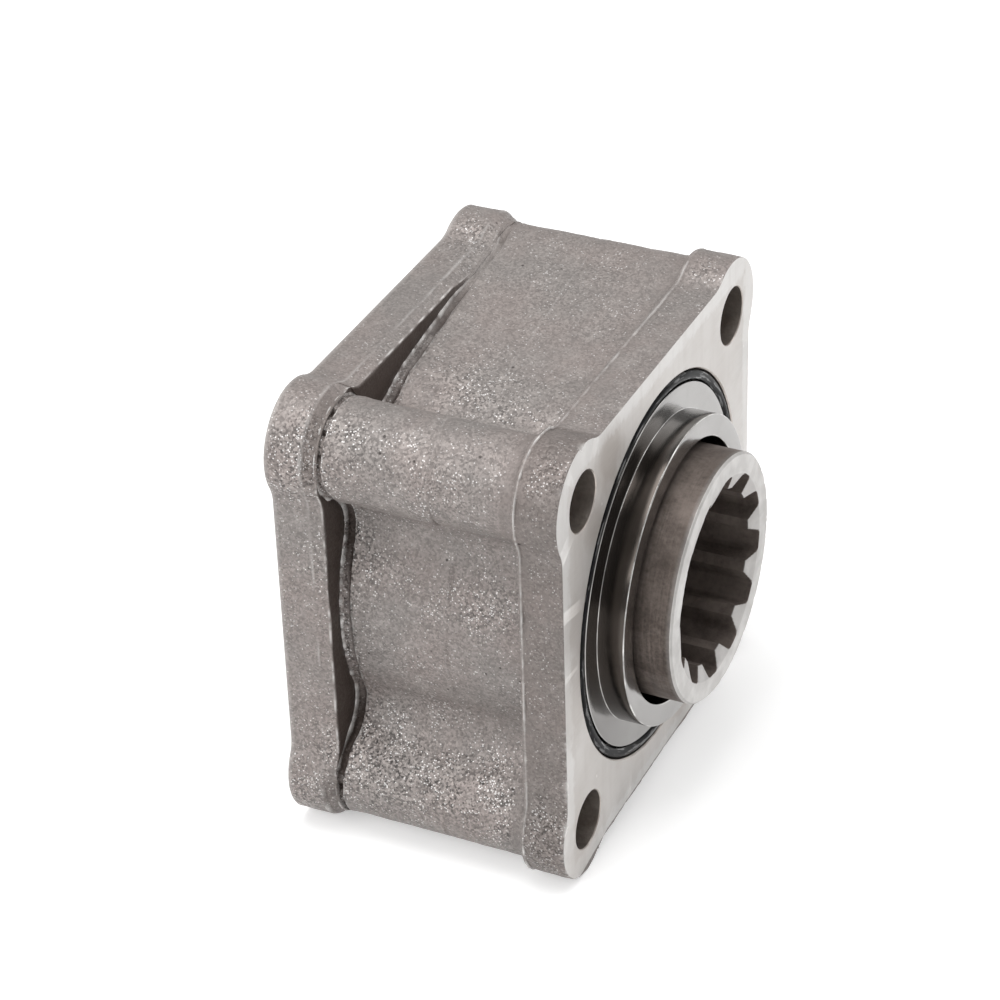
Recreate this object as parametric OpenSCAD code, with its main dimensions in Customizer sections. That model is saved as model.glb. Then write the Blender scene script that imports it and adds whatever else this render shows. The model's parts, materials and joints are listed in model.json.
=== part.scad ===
// Power take off unit: a cast flange housing that carries a splined hub on two ball bearings.
// X runs along the shaft towards the open end of the hub, Z is up, and the origin lies on the
// shaft axis in the machined front face. Round pieces are drawn about Z and laid along X.

/* [Housing] */
// Length from the rear face to the front face
housing_len = 65; // [63:0.5:90]
// Width of each square flange across its straight sides
flange_w = 101; // [98:0.5:104]
// Thickness of each flange
flange_t = 12; // [8:0.5:14]
// Bevel on the cast rim of each flange, on the side that faces the body
rim_bevel = 2; // [0.5:0.25:3]
// Distance between neighbouring bolt hole centres
hole_spacing = 80; // [79:0.5:84]
// Diameter of the bolt holes
bolt_hole_d = 13; // [9:0.5:15]
// Diameter of the round lobe about each bolt hole
lobe_d = 26; // [25:0.5:29]
// Radius of the blend between a lobe and the straight side
lobe_blend = 8; // [4:0.5:12]
// Wall of the round barrel between the flanges, around the bearing seat
barrel_wall = 4.25; // [3.75:0.25:6]
// Diameter of the boss that runs along each bolt hole
boss_d = 22; // [20:0.5:24]
// Radius of the valley between the barrel and a boss
valley_r = 9; // [6:0.5:12]

/* [Casting seams] */
// Height of the raised mould seams above the cast surface
seam_h = 0.35; // [0.2:0.05:0.6]
// Width of the raised mould seams
seam_w = 0.8; // [0.5:0.1:1.5]
// Distance of the middle seam behind the front face
seam_back = 28; // [20:0.5:36]
// Height of the flash where the body meets the rear flange
flash_h = 0.8; // [0.3:0.1:1.2]

/* [Bore] */
// Length of the rear register, the rear end of the bearing seat's bore
register_len = 9; // [6:0.5:9.5]
// Depth of the clearance between the bearing seat and the register
relief_depth = 0.6; // [0.2:0.1:1.2]
// Bevel at the mouth of the rear register
mouth_bevel = 0.8; // [0.4:0.1:1.5]

/* [Pilot ring] */
// Wall of the spigot that stands out of the face
pilot_wall = 4.9; // [4:0.1:7]
// Height of the spigot above the front face
pilot_h = 5.9; // [3:0.1:9]
// Bevel on the spigot's outer and inner edges
pilot_bevel = 0.4; // [0.3:0.1:1.5]
// Space between the hub and the ring's bore
hub_room = 1.75; // [1.25:0.25:2.5]
// Wall of the ring between the seal and the housing
ring_wall = 4; // [3.5:0.5:5]
// How far the ring reaches into the housing
ring_depth = 11.5; // [11:0.5:14]
// How far the ring's flange lies below the front face
ring_sunk = 0.1; // [0.05:0.05:0.5]

/* [Face O-ring] */
// Width of the groove in the front face around the ring
groove_w = 2.8; // [2.4:0.1:4]
// Depth of the groove
groove_depth = 2.4; // [2:0.1:4]
// Thickness of the O-ring
oring_t = 2.5; // [1.8:0.1:2.6]

/* [Shaft seal] */
// Height of the seal between the hub and the ring
seal_height = 8.5; // [8:0.5:10]
// Width of the seal
seal_w = 8; // [7:0.5:8.5]
// How far the seal lies in front of the ring's rear edge
seal_inset = 1; // [0.5:0.25:1.5]
// Thickness of the seal's sheet metal case
case_t = 1; // [0.6:0.1:1.4]
// Space between the hub and the inner edge of the case
case_room = 3.5; // [3:0.1:4.5]
// Space between the hub and the rubber behind the sealing edge
lip_room = 1; // [0.6:0.1:1.3]
// Thickness of the rubber between the case and the lip
web_t = 1; // [0.8:0.1:1.2]
// Length of the thick end of the lip
lip_len = 4; // [3.6:0.1:4.2]
// How far the front of the lip lies behind the front of the seal
lip_back = 1; // [0.5:0.1:1.2]
// How far the sealing edge lies behind the front of the seal
edge_back = 2.5; // [2:0.1:3]
// Thickness of the garter spring's wire coil
garter_t = 1.7; // [1.2:0.1:2]
// Space between the hub and the garter spring
garter_room = 2.4; // [2.2:0.1:3]
// How far the middle of the garter spring lies behind the front of the seal
garter_back = 2; // [1.8:0.1:2.2]

/* [Hub] */
// Outer diameter of the hub in front of the bearings
hub_d = 55; // [53:0.5:56]
// How far the hub stands out of the front face
hub_out = 13.8; // [8:0.1:20]
// Height of the shoulder that the front bearing seats against
hub_shoulder = 2.5; // [1.5:0.25:3]
// Bevel on the hub's front edge
hub_bevel = 0.5; // [0.4:0.1:1.5]
// Length of the hub behind the rear bearing
hub_tail = 5.5; // [4:0.5:6]

/* [Front spline] */
// Number of spaces cut in the front spline
spline_count = 12; // [10:1:13]
// Wall between the bottom of the spline spaces and the bearings' bore
spline_wall = 2.1; // [2:0.1:3.5]
// Depth of the spline spaces
spline_depth = 3.5; // [2.5:0.1:3.7]
// Width of each space at the pitch circle, half way between the two
space_w = 6; // [4:0.1:6.2]
// Flank angle of the teeth
flank_angle = 20; // [16:1:30]
// Bevel in the bottom corners of each space
space_bevel = 0.8; // [0.3:0.1:1.1]
// Angle of the first space from the horizontal at rest
spline_turn = 20; // [0:1:30]
// Length of the front spline
spline_len = 24; // [16:0.5:25]
// Depth of the lead-in bevel at the mouth
lead_in = 1.4; // [0.5:0.1:3]

/* [Rear spline] */
// Number of spaces in the rear spline
rear_count = 8; // [6:1:10]
// Wall between the bottom of the rear spline's spaces and the bearings' bore
rear_wall = 7; // [6:0.5:8]
// Depth of the rear spline's spaces
rear_depth = 2; // [1.5:0.25:2.5]
// Width of each rear space
rear_space_w = 6; // [4:0.1:7]
// Length of the clearance turned between the two splines
runout_len = 3; // [2:0.5:5]

/* [Ball bearings] */
// Width of each bearing
bearing_w = 16; // [15:0.5:17]
// Diameter of the balls
ball_d = 8.73; // [8:0.01:9.2]
// Radius of the races as a multiple of the balls' radius
race_fit = 1.03; // [1.02:0.005:1.05]
// Distance between the shoulders of the outer and the inner ring
shoulder_gap = 5.2; // [4.8:0.1:5.6]
// Bevel on the corners of the bearing rings
ring_bevel = 1; // [0.5:0.1:1.2]
// Number of balls in each bearing
ball_count = 13; // [9:1:14]
// Thickness of the cage sheet
cage_t = 0.9; // [0.6:0.1:1.1]
// Width of the cage across its sheet
cage_w = 4.2; // [3:0.1:4.6]
// Diameter of the cage rivets
rivet_d = 1.4; // [1:0.1:1.6]
// Diameter of the rivet heads
rivet_head_d = 2.6; // [2.2:0.1:3]
// Thickness of the rivet heads
rivet_head_t = 0.6; // [0.4:0.1:0.9]
// Distance between the two bearings
spacer_len = 5; // [3:0.5:6]
// Wall of the spacer between the outer rings
outer_spacer_t = 3.5; // [2.5:0.5:5]
// Wall of the spacer between the inner rings
inner_spacer_t = 4; // [2.5:0.5:4.5]

/* [Retaining rings] */
// Thickness of the ring in the bore
bore_clip_t = 2.5; // [1.5:0.1:2.5]
// Thickness of the ring on the hub
hub_clip_t = 2; // [1.2:0.1:2.5]
// Depth of both grooves
clip_groove = 1.5; // [1:0.1:1.8]
// Width of the rings across their flat
clip_w = 5; // [4:0.1:6]
// Diameter of the eyes beside the gap of each ring
eye_d = 6; // [4.5:0.25:6.5]
// Diameter of the holes in the eyes
eye_hole_d = 2.4; // [1.5:0.1:3]
// Distance between the two eyes of a ring
eye_apart = 10; // [9:0.5:14]
// Width of the gap in each ring
clip_gap = 5; // [3:0.5:6]

/* [Clearances] */
// Clearance between a seated ring and its seat
seat_gap = 0.02; // [0.01:0.01:0.03]
// Running clearance between a ball and its race
ball_gap = 0.04; // [0.03:0.01:0.06]
// Clearance between a ball and its cage pocket
pocket_gap = 0.2; // [0.15:0.05:0.3]
// Running clearance between the seal lip and the hub
lip_gap = 0.05; // [0.03:0.01:0.08]
// Axial play of the retaining rings in their grooves
clip_play = 0.15; // [0.1:0.05:0.2]

/* [Hidden] */
$fn = 72;

// Overlap of one solid into its neighbour where both are one casting
bite = 0.03;
// Length by which a cutter runs past what it cuts
over = 1;

cast_grey = [0.60, 0.57, 0.55];
steel = [0.74, 0.74, 0.75];
dark_steel = [0.36, 0.35, 0.35];
cage_grey = [0.66, 0.65, 0.62];
black = [0.08, 0.08, 0.10];

// Housing
corner = hole_spacing / 2;
corner_out = corner * sqrt(2);
side = flange_w / 2;
lobe_r = lobe_d / 2;
boss_r = boss_d / 2;
rear_face = -housing_len;

// Radii from the hub outwards: the seal, the ring and the bearings' seat, and the barrel
hub_r = hub_d / 2;
inner_r = hub_r + hub_room;
pilot_r = inner_r + pilot_wall;
seal_r = hub_r + seal_height;
bore_r = seal_r + ring_wall;
groove_r = bore_r + groove_w;
barrel_r = bore_r + barrel_wall;

// Radii from the hub inwards: the bearings' seat, the front spline and the rear spline
bearing_ir = hub_r - hub_shoulder;
journal_r = bearing_ir - seat_gap;
major_r = bearing_ir - spline_wall;
minor_r = major_r - spline_depth;
rear_major_r = bearing_ir - rear_wall;
rear_minor_r = rear_major_r - rear_depth;

// Places along the shaft
seal_end = -ring_depth + seal_inset;
front_bearing = -ring_depth - bearing_w;
rear_bearing = front_bearing - spacer_len - bearing_w;
hub_end = rear_bearing - hub_tail;
runout_end = hub_out - spline_len - runout_len;

// Bearings
pitch_r = (bearing_ir + bore_r) / 2;
ball_r = ball_d / 2;
race_r = ball_r * race_fit;
race_shift = ball_r + ball_gap - race_r;

// Seal
case_r = hub_r + case_room;
garter_r = garter_t / 2;
garter_seat = [hub_r + garter_room + garter_r, seal_w - garter_back];

// Lays what is drawn about Z along the shaft, with X to Y, Y to Z and Z to X
module along_shaft() {
    rotate([90, 0, 90]) children();
}

// A ring turned about the shaft between two radii
module ring(outer, inner, from, length) {
    translate([0, 0, from]) difference() {
        cylinder(r = outer, h = length);
        translate([0, 0, -over]) cylinder(r = inner, h = length + 2 * over);
    }
}

module at_corners() {
    for (x = [-corner, corner], y = [-corner, corner]) translate([x, y]) children();
}

// Angle at the shaft between a boss and the centre of its valley
function valley_angle() = acos(
    (pow(barrel_r + valley_r, 2) + pow(corner_out, 2) - pow(boss_r + valley_r, 2))
    / (2 * (barrel_r + valley_r) * corner_out)
);

// Metal that fills one valley, below the boss at 45 degrees
module valley_web(grow) {
    a = 45 - valley_angle();
    centre = (barrel_r + valley_r) * [cos(a), sin(a)];
    difference() {
        polygon([[0, 0], centre, [corner, corner]]);
        translate(centre) circle(r = valley_r - grow + bite);
    }
}

// Flat crown from the top of the barrel to the far upper boss
module crown(grow) {
    lean = 45 - asin((barrel_r - boss_r) / corner_out);
    out = [-sin(lean), cos(lean)];
    polygon([
        [0, 0],
        (barrel_r + grow - bite) * out,
        [corner, corner] + (boss_r + grow - bite) * out,
        [corner, corner]
    ]);
}

// Section of the cast body between the flanges, seen from the front
module body_section(grow = 0) {
    circle(r = barrel_r + grow);
    at_corners() circle(r = boss_r + grow);
    for (a = [0:90:270]) rotate(a) {
        valley_web(grow);
        mirror([1, -1]) valley_web(grow);
    }
    crown(grow);
}

// Blend between a straight side and the lobe on its right
module lobe_web() {
    up = side + lobe_blend;
    along = corner - sqrt(pow(lobe_r + lobe_blend, 2) - pow(up - corner, 2));
    difference() {
        polygon([[along, side - over], [along, up], [corner, corner]]);
        translate([along, up]) circle(r = lobe_blend + bite);
    }
}

module flange_outline() {
    square([flange_w, hole_spacing], center = true);
    square([hole_spacing, flange_w], center = true);
    at_corners() circle(r = lobe_r);
    for (a = [0:90:270]) rotate(a) {
        lobe_web();
        mirror([1, 0]) lobe_web();
    }
}

// Frustum that bevels one pair of straight sides
module bevel_block(wide, tall) {
    hull() {
        linear_extrude(bite) square([wide, tall], center = true);
        linear_extrude(rim_bevel)
            square([wide - 2 * rim_bevel, tall - 2 * rim_bevel], center = true);
    }
}

// Square flange with round lobes, its bevelled side up
module flange() {
    flat = flange_t - rim_bevel;
    linear_extrude(flat) flange_outline();
    translate([0, 0, flat]) {
        bevel_block(flange_w, hole_spacing);
        bevel_block(hole_spacing, flange_w);
        at_corners() cylinder(r1 = lobe_r, r2 = lobe_r - rim_bevel, h = rim_bevel);
    }
}

// Raised mould seam around the body
module seam(from, width, height) {
    translate([0, 0, from]) linear_extrude(width) body_section(height);
}

module housing_bores() {
    clip_groove_end = rear_bearing - bore_clip_t - clip_play;
    register_start = rear_face + mouth_bevel + register_len;
    // Bearing seat, through the whole housing
    translate([0, 0, rear_face - over])
        cylinder(r = bore_r, h = housing_len + 2 * over);
    // Groove for the face O-ring
    translate([0, 0, -groove_depth]) cylinder(r = groove_r, h = groove_depth + over);
    // Groove for the retaining ring
    translate([0, 0, clip_groove_end])
        cylinder(r = bore_r + clip_groove, h = bore_clip_t + clip_play);
    // Clearance behind that groove, and the bevelled mouth of the register
    translate([0, 0, register_start])
        cylinder(r = bore_r + relief_depth, h = clip_groove_end - register_start + bite);
    translate([0, 0, rear_face - over])
        cylinder(r1 = bore_r + mouth_bevel + over, r2 = bore_r, h = mouth_bevel + over);
    // Bolt holes
    translate([0, 0, rear_face - over])
        at_corners() cylinder(d = bolt_hole_d, h = housing_len + 2 * over, $fn = 48);
}

module housing() {
    body_start = rear_face + flange_t;
    color(cast_grey) along_shaft() difference() {
        union() {
            translate([0, 0, rear_face]) flange();
            mirror([0, 0, 1]) flange();
            translate([0, 0, body_start - over])
                linear_extrude(housing_len - 2 * flange_t + 2 * over) body_section();
            seam(body_start - over, seam_w + over, flash_h);
            seam(-seam_back - seam_w / 2, seam_w, seam_h);
        }
        housing_bores();
    }
}

// Turned sleeve: a flange flush with the face, a spigot in front and the seal's seat behind
module pilot_ring() {
    flange_r = bore_r - seat_gap;
    seat_r = seal_r + seat_gap;
    seat_start = seal_end + seal_w;
    color(steel) along_shaft() rotate_extrude() polygon([
        [seat_r, -ring_depth],
        [flange_r, -ring_depth],
        [flange_r, -ring_sunk],
        [pilot_r, -ring_sunk],
        [pilot_r, pilot_h - pilot_bevel],
        [pilot_r - pilot_bevel, pilot_h],
        [inner_r + pilot_bevel, pilot_h],
        [inner_r, pilot_h - pilot_bevel],
        [inner_r, seat_start],
        [seat_r, seat_start]
    ]);
}

module face_o_ring() {
    color(black) along_shaft() translate([0, 0, oring_t / 2 - groove_depth + seat_gap])
        rotate_extrude() translate([bore_r + groove_w / 2, 0]) circle(d = oring_t, $fn = 32);
}

// Sheet metal case of the shaft seal, open towards the front
module seal_case() {
    color(dark_steel) along_shaft() translate([0, 0, seal_end]) rotate_extrude() polygon([
        [case_r, 0],
        [seal_r, 0],
        [seal_r, seal_w - seat_gap],
        [seal_r - case_t, seal_w - seat_gap],
        [seal_r - case_t, case_t],
        [case_r, case_t]
    ]);
}

// Rubber lip of the shaft seal, from the case's inner edge to the hub
module seal_lip() {
    heel = hub_r + lip_room;
    front = seal_w - lip_back;
    shoulder = garter_seat[1] - (front - garter_seat[1]);
    color(black) along_shaft() translate([0, 0, seal_end]) rotate_extrude() difference() {
        polygon([
            [heel, 0],
            [case_r - seat_gap, 0],
            [case_r - seat_gap, case_t],
            [heel + web_t, case_t + web_t],
            [heel + web_t, seal_w - lip_len],
            [garter_seat[0], shoulder],
            [garter_seat[0], front],
            [heel + web_t / 2, front],
            [hub_r + lip_gap, seal_w - edge_back],
            [heel, seal_w - lip_len]
        ]);
        translate(garter_seat) circle(r = garter_r + seat_gap, $fn = 32);
    }
}

module garter_spring() {
    color(steel) along_shaft() translate([0, 0, seal_end]) rotate_extrude()
        translate(garter_seat) circle(r = garter_r, $fn = 32);
}

// Section of a bearing ring with bevelled corners, between two radii
module ring_section(inner, outer) {
    polygon([
        [inner + ring_bevel, 0],
        [outer - ring_bevel, 0],
        [outer, ring_bevel],
        [outer, bearing_w - ring_bevel],
        [outer - ring_bevel, bearing_w],
        [inner + ring_bevel, bearing_w],
        [inner, bearing_w - ring_bevel],
        [inner, ring_bevel]
    ]);
}

module outer_ring(from) {
    color(steel) along_shaft() translate([0, 0, from]) rotate_extrude() difference() {
        ring_section(pitch_r + shoulder_gap / 2, bore_r - seat_gap);
        translate([pitch_r + race_shift, bearing_w / 2]) circle(r = race_r);
    }
}

module inner_ring(from) {
    color(steel) along_shaft() translate([0, 0, from]) rotate_extrude() difference() {
        ring_section(bearing_ir, pitch_r - shoulder_gap / 2);
        translate([pitch_r - race_shift, bearing_w / 2]) circle(r = race_r);
    }
}

// Places its children at each ball of the bearing that starts at the given place
module at_balls(from, turn = 0) {
    for (i = [0:ball_count - 1])
        rotate(i * 360 / ball_count + turn) translate([pitch_r, 0, from + bearing_w / 2]) children();
}

module balls(from) {
    color(steel) along_shaft() at_balls(from) sphere(r = ball_r, $fn = 48);
}

// One half of the pressed cage: a flat ring with a round pocket over each ball
module cage_half(from, up) {
    middle = from + bearing_w / 2;
    outer = pitch_r + cage_w / 2;
    inner = pitch_r - cage_w / 2;
    pocket_r = ball_r + pocket_gap;
    color(cage_grey) along_shaft() difference() {
        intersection() {
            union() {
                ring(outer, inner, up ? middle : middle - cage_t, cage_t);
                at_balls(from) sphere(r = pocket_r + cage_t, $fn = 32);
            }
            ring(outer, inner, up ? middle : from, bearing_w / 2);
        }
        at_balls(from) sphere(r = pocket_r, $fn = 32);
        at_balls(from, 180 / ball_count)
            cylinder(d = rivet_d + 2 * seat_gap, h = bearing_w / 2, center = true, $fn = 24);
    }
}

// Rivets that hold the two cage halves together, one between each two balls
module cage_rivets(from) {
    color(steel) along_shaft() at_balls(from, 180 / ball_count) {
        cylinder(d = rivet_d, h = 2 * cage_t + rivet_head_t, center = true, $fn = 24);
        for (z = [cage_t, -cage_t - rivet_head_t])
            translate([0, 0, z]) cylinder(d = rivet_head_d, h = rivet_head_t, $fn = 24);
    }
}

module outer_spacer() {
    color(dark_steel) along_shaft()
        ring(bore_r - seat_gap, bore_r - outer_spacer_t, front_bearing - spacer_len, spacer_len);
}

module inner_spacer() {
    color(dark_steel) along_shaft()
        ring(bearing_ir + inner_spacer_t, bearing_ir, front_bearing - spacer_len, spacer_len);
}

// Places its children at the two eyes of a retaining ring, beside the gap at the top
module at_eyes(radius) {
    turn = asin(eye_apart / 2 / radius);
    for (a = [-turn, turn]) rotate(a) translate([0, radius]) children();
}

// Flat retaining ring with a gap, and eyes on its inner or outer edge
module retaining_ring(outer, inner, eye_at, thick) {
    linear_extrude(thick) difference() {
        union() {
            difference() {
                circle(r = outer);
                circle(r = inner);
            }
            at_eyes(eye_at) circle(d = eye_d, $fn = 32);
        }
        translate([-clip_gap / 2, 0]) square([clip_gap, outer + eye_d]);
        at_eyes(eye_at) circle(d = eye_hole_d, $fn = 24);
    }
}

module bore_retaining_ring() {
    outer = bore_r + clip_groove - seat_gap;
    inner = bore_r + clip_groove - clip_w;
    color(dark_steel) along_shaft() translate([0, 0, rear_bearing - bore_clip_t])
        retaining_ring(outer, inner, inner, bore_clip_t);
}

module hub_retaining_ring() {
    inner = journal_r - clip_groove + seat_gap;
    outer = inner + clip_w;
    color(dark_steel) along_shaft() translate([0, 0, rear_bearing - hub_clip_t])
        retaining_ring(outer, inner, outer, hub_clip_t);
}

// Outline of the front spline's bore
module front_spline_outline() {
    pitch = (major_r + minor_r) / 2;
    shallow = minor_r - over;
    bevel_start = major_r - space_bevel;
    half_shallow = space_w / 2 + (pitch - shallow) * tan(flank_angle);
    half_bevel = space_w / 2 - (bevel_start - pitch) * tan(flank_angle);
    circle(r = minor_r);
    intersection() {
        circle(r = major_r);
        for (i = [0:spline_count - 1]) rotate(spline_turn + i * 360 / spline_count) polygon([
            [shallow, -half_shallow],
            [bevel_start, -half_bevel],
            [major_r + bite, space_bevel + bite - half_bevel],
            [major_r + bite, half_bevel - space_bevel - bite],
            [bevel_start, half_bevel],
            [shallow, half_shallow]
        ]);
    }
}

// Outline of the rear spline's bore, with straight sided spaces
module rear_spline_outline() {
    circle(r = rear_minor_r);
    intersection() {
        circle(r = rear_major_r);
        for (i = [0:rear_count - 1]) rotate(i * 360 / rear_count)
            translate([0, -rear_space_w / 2]) square([rear_major_r + over, rear_space_w]);
    }
}

module hub_bores() {
    translate([0, 0, hub_out - spline_len])
        linear_extrude(spline_len + over) front_spline_outline();
    translate([0, 0, runout_end]) cylinder(r = major_r + seat_gap, h = runout_len + bite);
    translate([0, 0, hub_out - lead_in])
        cylinder(r1 = minor_r, r2 = major_r, h = lead_in + bite);
    translate([0, 0, hub_end - over])
        linear_extrude(runout_end - hub_end + 2 * over) rear_spline_outline();
    translate([0, 0, hub_end - bite])
        cylinder(r1 = rear_major_r, r2 = rear_minor_r, h = rear_depth + bite);
    // Groove for the retaining ring
    ring(journal_r + over, journal_r - clip_groove, rear_bearing - hub_clip_t - clip_play,
        hub_clip_t + clip_play);
}

module splined_hub() {
    color(steel) along_shaft() difference() {
        rotate_extrude() polygon([
            [0, hub_end],
            [journal_r - hub_bevel, hub_end],
            [journal_r, hub_end + hub_bevel],
            [journal_r, -ring_depth],
            [hub_r, -ring_depth],
            [hub_r, hub_out - hub_bevel],
            [hub_r - hub_bevel, hub_out],
            [0, hub_out]
        ]);
        hub_bores();
    }
}

housing();
pilot_ring();
face_o_ring();
splined_hub();
seal_case();
seal_lip();
garter_spring();
outer_ring(front_bearing);  // front_outer_ring
inner_ring(front_bearing);  // front_inner_ring
balls(front_bearing);  // front_balls
cage_half(front_bearing, true);  // front_cage_fore
cage_half(front_bearing, false);  // front_cage_aft
cage_rivets(front_bearing);  // front_cage_rivets
outer_spacer();
inner_spacer();
outer_ring(rear_bearing);  // rear_outer_ring
inner_ring(rear_bearing);  // rear_inner_ring
balls(rear_bearing);  // rear_balls
cage_half(rear_bearing, true);  // rear_cage_fore
cage_half(rear_bearing, false);  // rear_cage_aft
cage_rivets(rear_bearing);  // rear_cage_rivets
bore_retaining_ring();
hub_retaining_ring();
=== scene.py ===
import json
import math

import bmesh
import bpy
import numpy as np
from mathutils import Matrix, Vector, noise


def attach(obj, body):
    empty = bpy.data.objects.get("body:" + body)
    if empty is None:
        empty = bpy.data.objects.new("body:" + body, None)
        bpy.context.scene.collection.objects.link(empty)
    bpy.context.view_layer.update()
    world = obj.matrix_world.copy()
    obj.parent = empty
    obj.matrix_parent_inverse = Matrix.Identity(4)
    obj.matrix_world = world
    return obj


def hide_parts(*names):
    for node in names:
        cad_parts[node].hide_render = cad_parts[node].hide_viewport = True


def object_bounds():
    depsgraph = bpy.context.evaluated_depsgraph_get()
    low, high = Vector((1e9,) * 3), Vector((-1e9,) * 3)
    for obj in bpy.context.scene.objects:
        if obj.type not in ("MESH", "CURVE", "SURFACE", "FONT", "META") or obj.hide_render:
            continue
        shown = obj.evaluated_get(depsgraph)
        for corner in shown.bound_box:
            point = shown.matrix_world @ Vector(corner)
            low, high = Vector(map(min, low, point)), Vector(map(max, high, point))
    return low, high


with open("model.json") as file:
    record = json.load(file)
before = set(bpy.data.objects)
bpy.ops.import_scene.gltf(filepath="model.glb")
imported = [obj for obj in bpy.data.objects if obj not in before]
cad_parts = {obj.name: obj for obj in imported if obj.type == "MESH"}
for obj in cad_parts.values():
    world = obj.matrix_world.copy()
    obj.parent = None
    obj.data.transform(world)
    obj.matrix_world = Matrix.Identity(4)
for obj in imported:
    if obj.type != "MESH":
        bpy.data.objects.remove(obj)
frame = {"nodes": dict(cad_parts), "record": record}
nodes = frame["nodes"]
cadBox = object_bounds()
mm = 0.001
print("frame loaded with", len(nodes), "nodes")

# Camera: angles in degrees, place in metres
view = {
    "azimuth": 25.9625,
    "elevation": 32.8538,
    "roll": -1.9167,
    "lens": 118.798,
    "place": (0.225384, -0.540370, 0.395273),
}


def makeCamera(v):
    a, e, r = (math.radians(v[k]) for k in ("azimuth", "elevation", "roll"))
    right = Vector((math.cos(a), math.sin(a), 0))
    back = Vector((math.sin(a) * math.cos(e), -math.cos(a) * math.cos(e), math.sin(e)))
    up = back.cross(right)
    tiltedRight = right * math.cos(r) + up * math.sin(r)
    tiltedUp = up * math.cos(r) - right * math.sin(r)
    data = bpy.data.cameras.new("photoCamera")
    data.sensor_width = 36
    data.lens = v["lens"]
    data.clip_start, data.clip_end = 0.05, 20
    camera = bpy.data.objects.new("photoCamera", data)
    bpy.context.scene.collection.objects.link(camera)
    axes = Matrix((tiltedRight, tiltedUp, back)).transposed().to_4x4()
    camera.matrix_world = Matrix.Translation(v["place"]) @ axes
    bpy.context.scene.camera = camera


# Each input is another node's socket or a plain value
def addTo(tree, kind, inputs=None, **settings):
    made = tree.nodes.new(kind)
    for name, value in settings.items():
        setattr(made, name, value)
    for key, value in (inputs or {}).items():
        if isinstance(value, bpy.types.NodeSocket):
            tree.links.new(value, made.inputs[key])
        else:
            made.inputs[key].default_value = value
    return made


def addNode(tree, kind, inputs=None, **settings):
    return addTo(tree, "ShaderNode" + kind, inputs, **settings)


def newMaterial(name):
    material = bpy.data.materials.new(name)
    material.use_nodes = True
    tree = material.node_tree
    tree.nodes.clear()
    output = addNode(tree, "OutputMaterial")
    return material, tree, output


def objectPoint(tree):
    return addNode(tree, "TexCoord").outputs["Object"]


def remap(tree, value, fromLow, fromHigh, toLow=0.0, toHigh=1.0):
    return addNode(tree, "MapRange", {0: value, 1: fromLow, 2: fromHigh, 3: toLow, 4: toHigh}).outputs[0]


def mathOf(tree, operation, a, b=0.0, c=0.0):
    return addNode(tree, "Math", {0: a, 1: b, 2: c}, operation=operation).outputs[0]


def times(tree, a, b):
    return mathOf(tree, "MULTIPLY", a, b)


def plus(tree, a, b):
    return mathOf(tree, "ADD", a, b)


def minus(tree, a, b):
    return mathOf(tree, "SUBTRACT", a, b)


# Floor, background and lamps: metres and watts
studio = {
    "floorHalf": 3.0,
    "floorColor": (0.80, 0.80, 0.80, 1),
    "floorGlow": 0.40,
    "farGlow": 0.7,  # added for the camera, in full from farEnd on
    "farStart": 0.35,
    "farEnd": 0.9,
    "worldStrength": 0.42,
    "lamps": {
        # name: (place, aim, width, height, power)
        "topSoftbox": ((-0.12, -0.12, 0.96), (-0.03, 0, 0), 0.7, 0.7, 5.8),
        "nearSoftbox": ((-0.36, -0.94, 0.74), (-0.03, 0, 0), 0.9, 0.7, 6.2),
        "rightPanel": ((0.95, -0.10, 0.40), (0, 0, 0), 0.7, 0.7, 0.6),
        "backSoftbox": ((0.55, 0.72, 0.70), (0, 0, 0), 0.9, 0.7, 3.5),
    },
}


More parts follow.
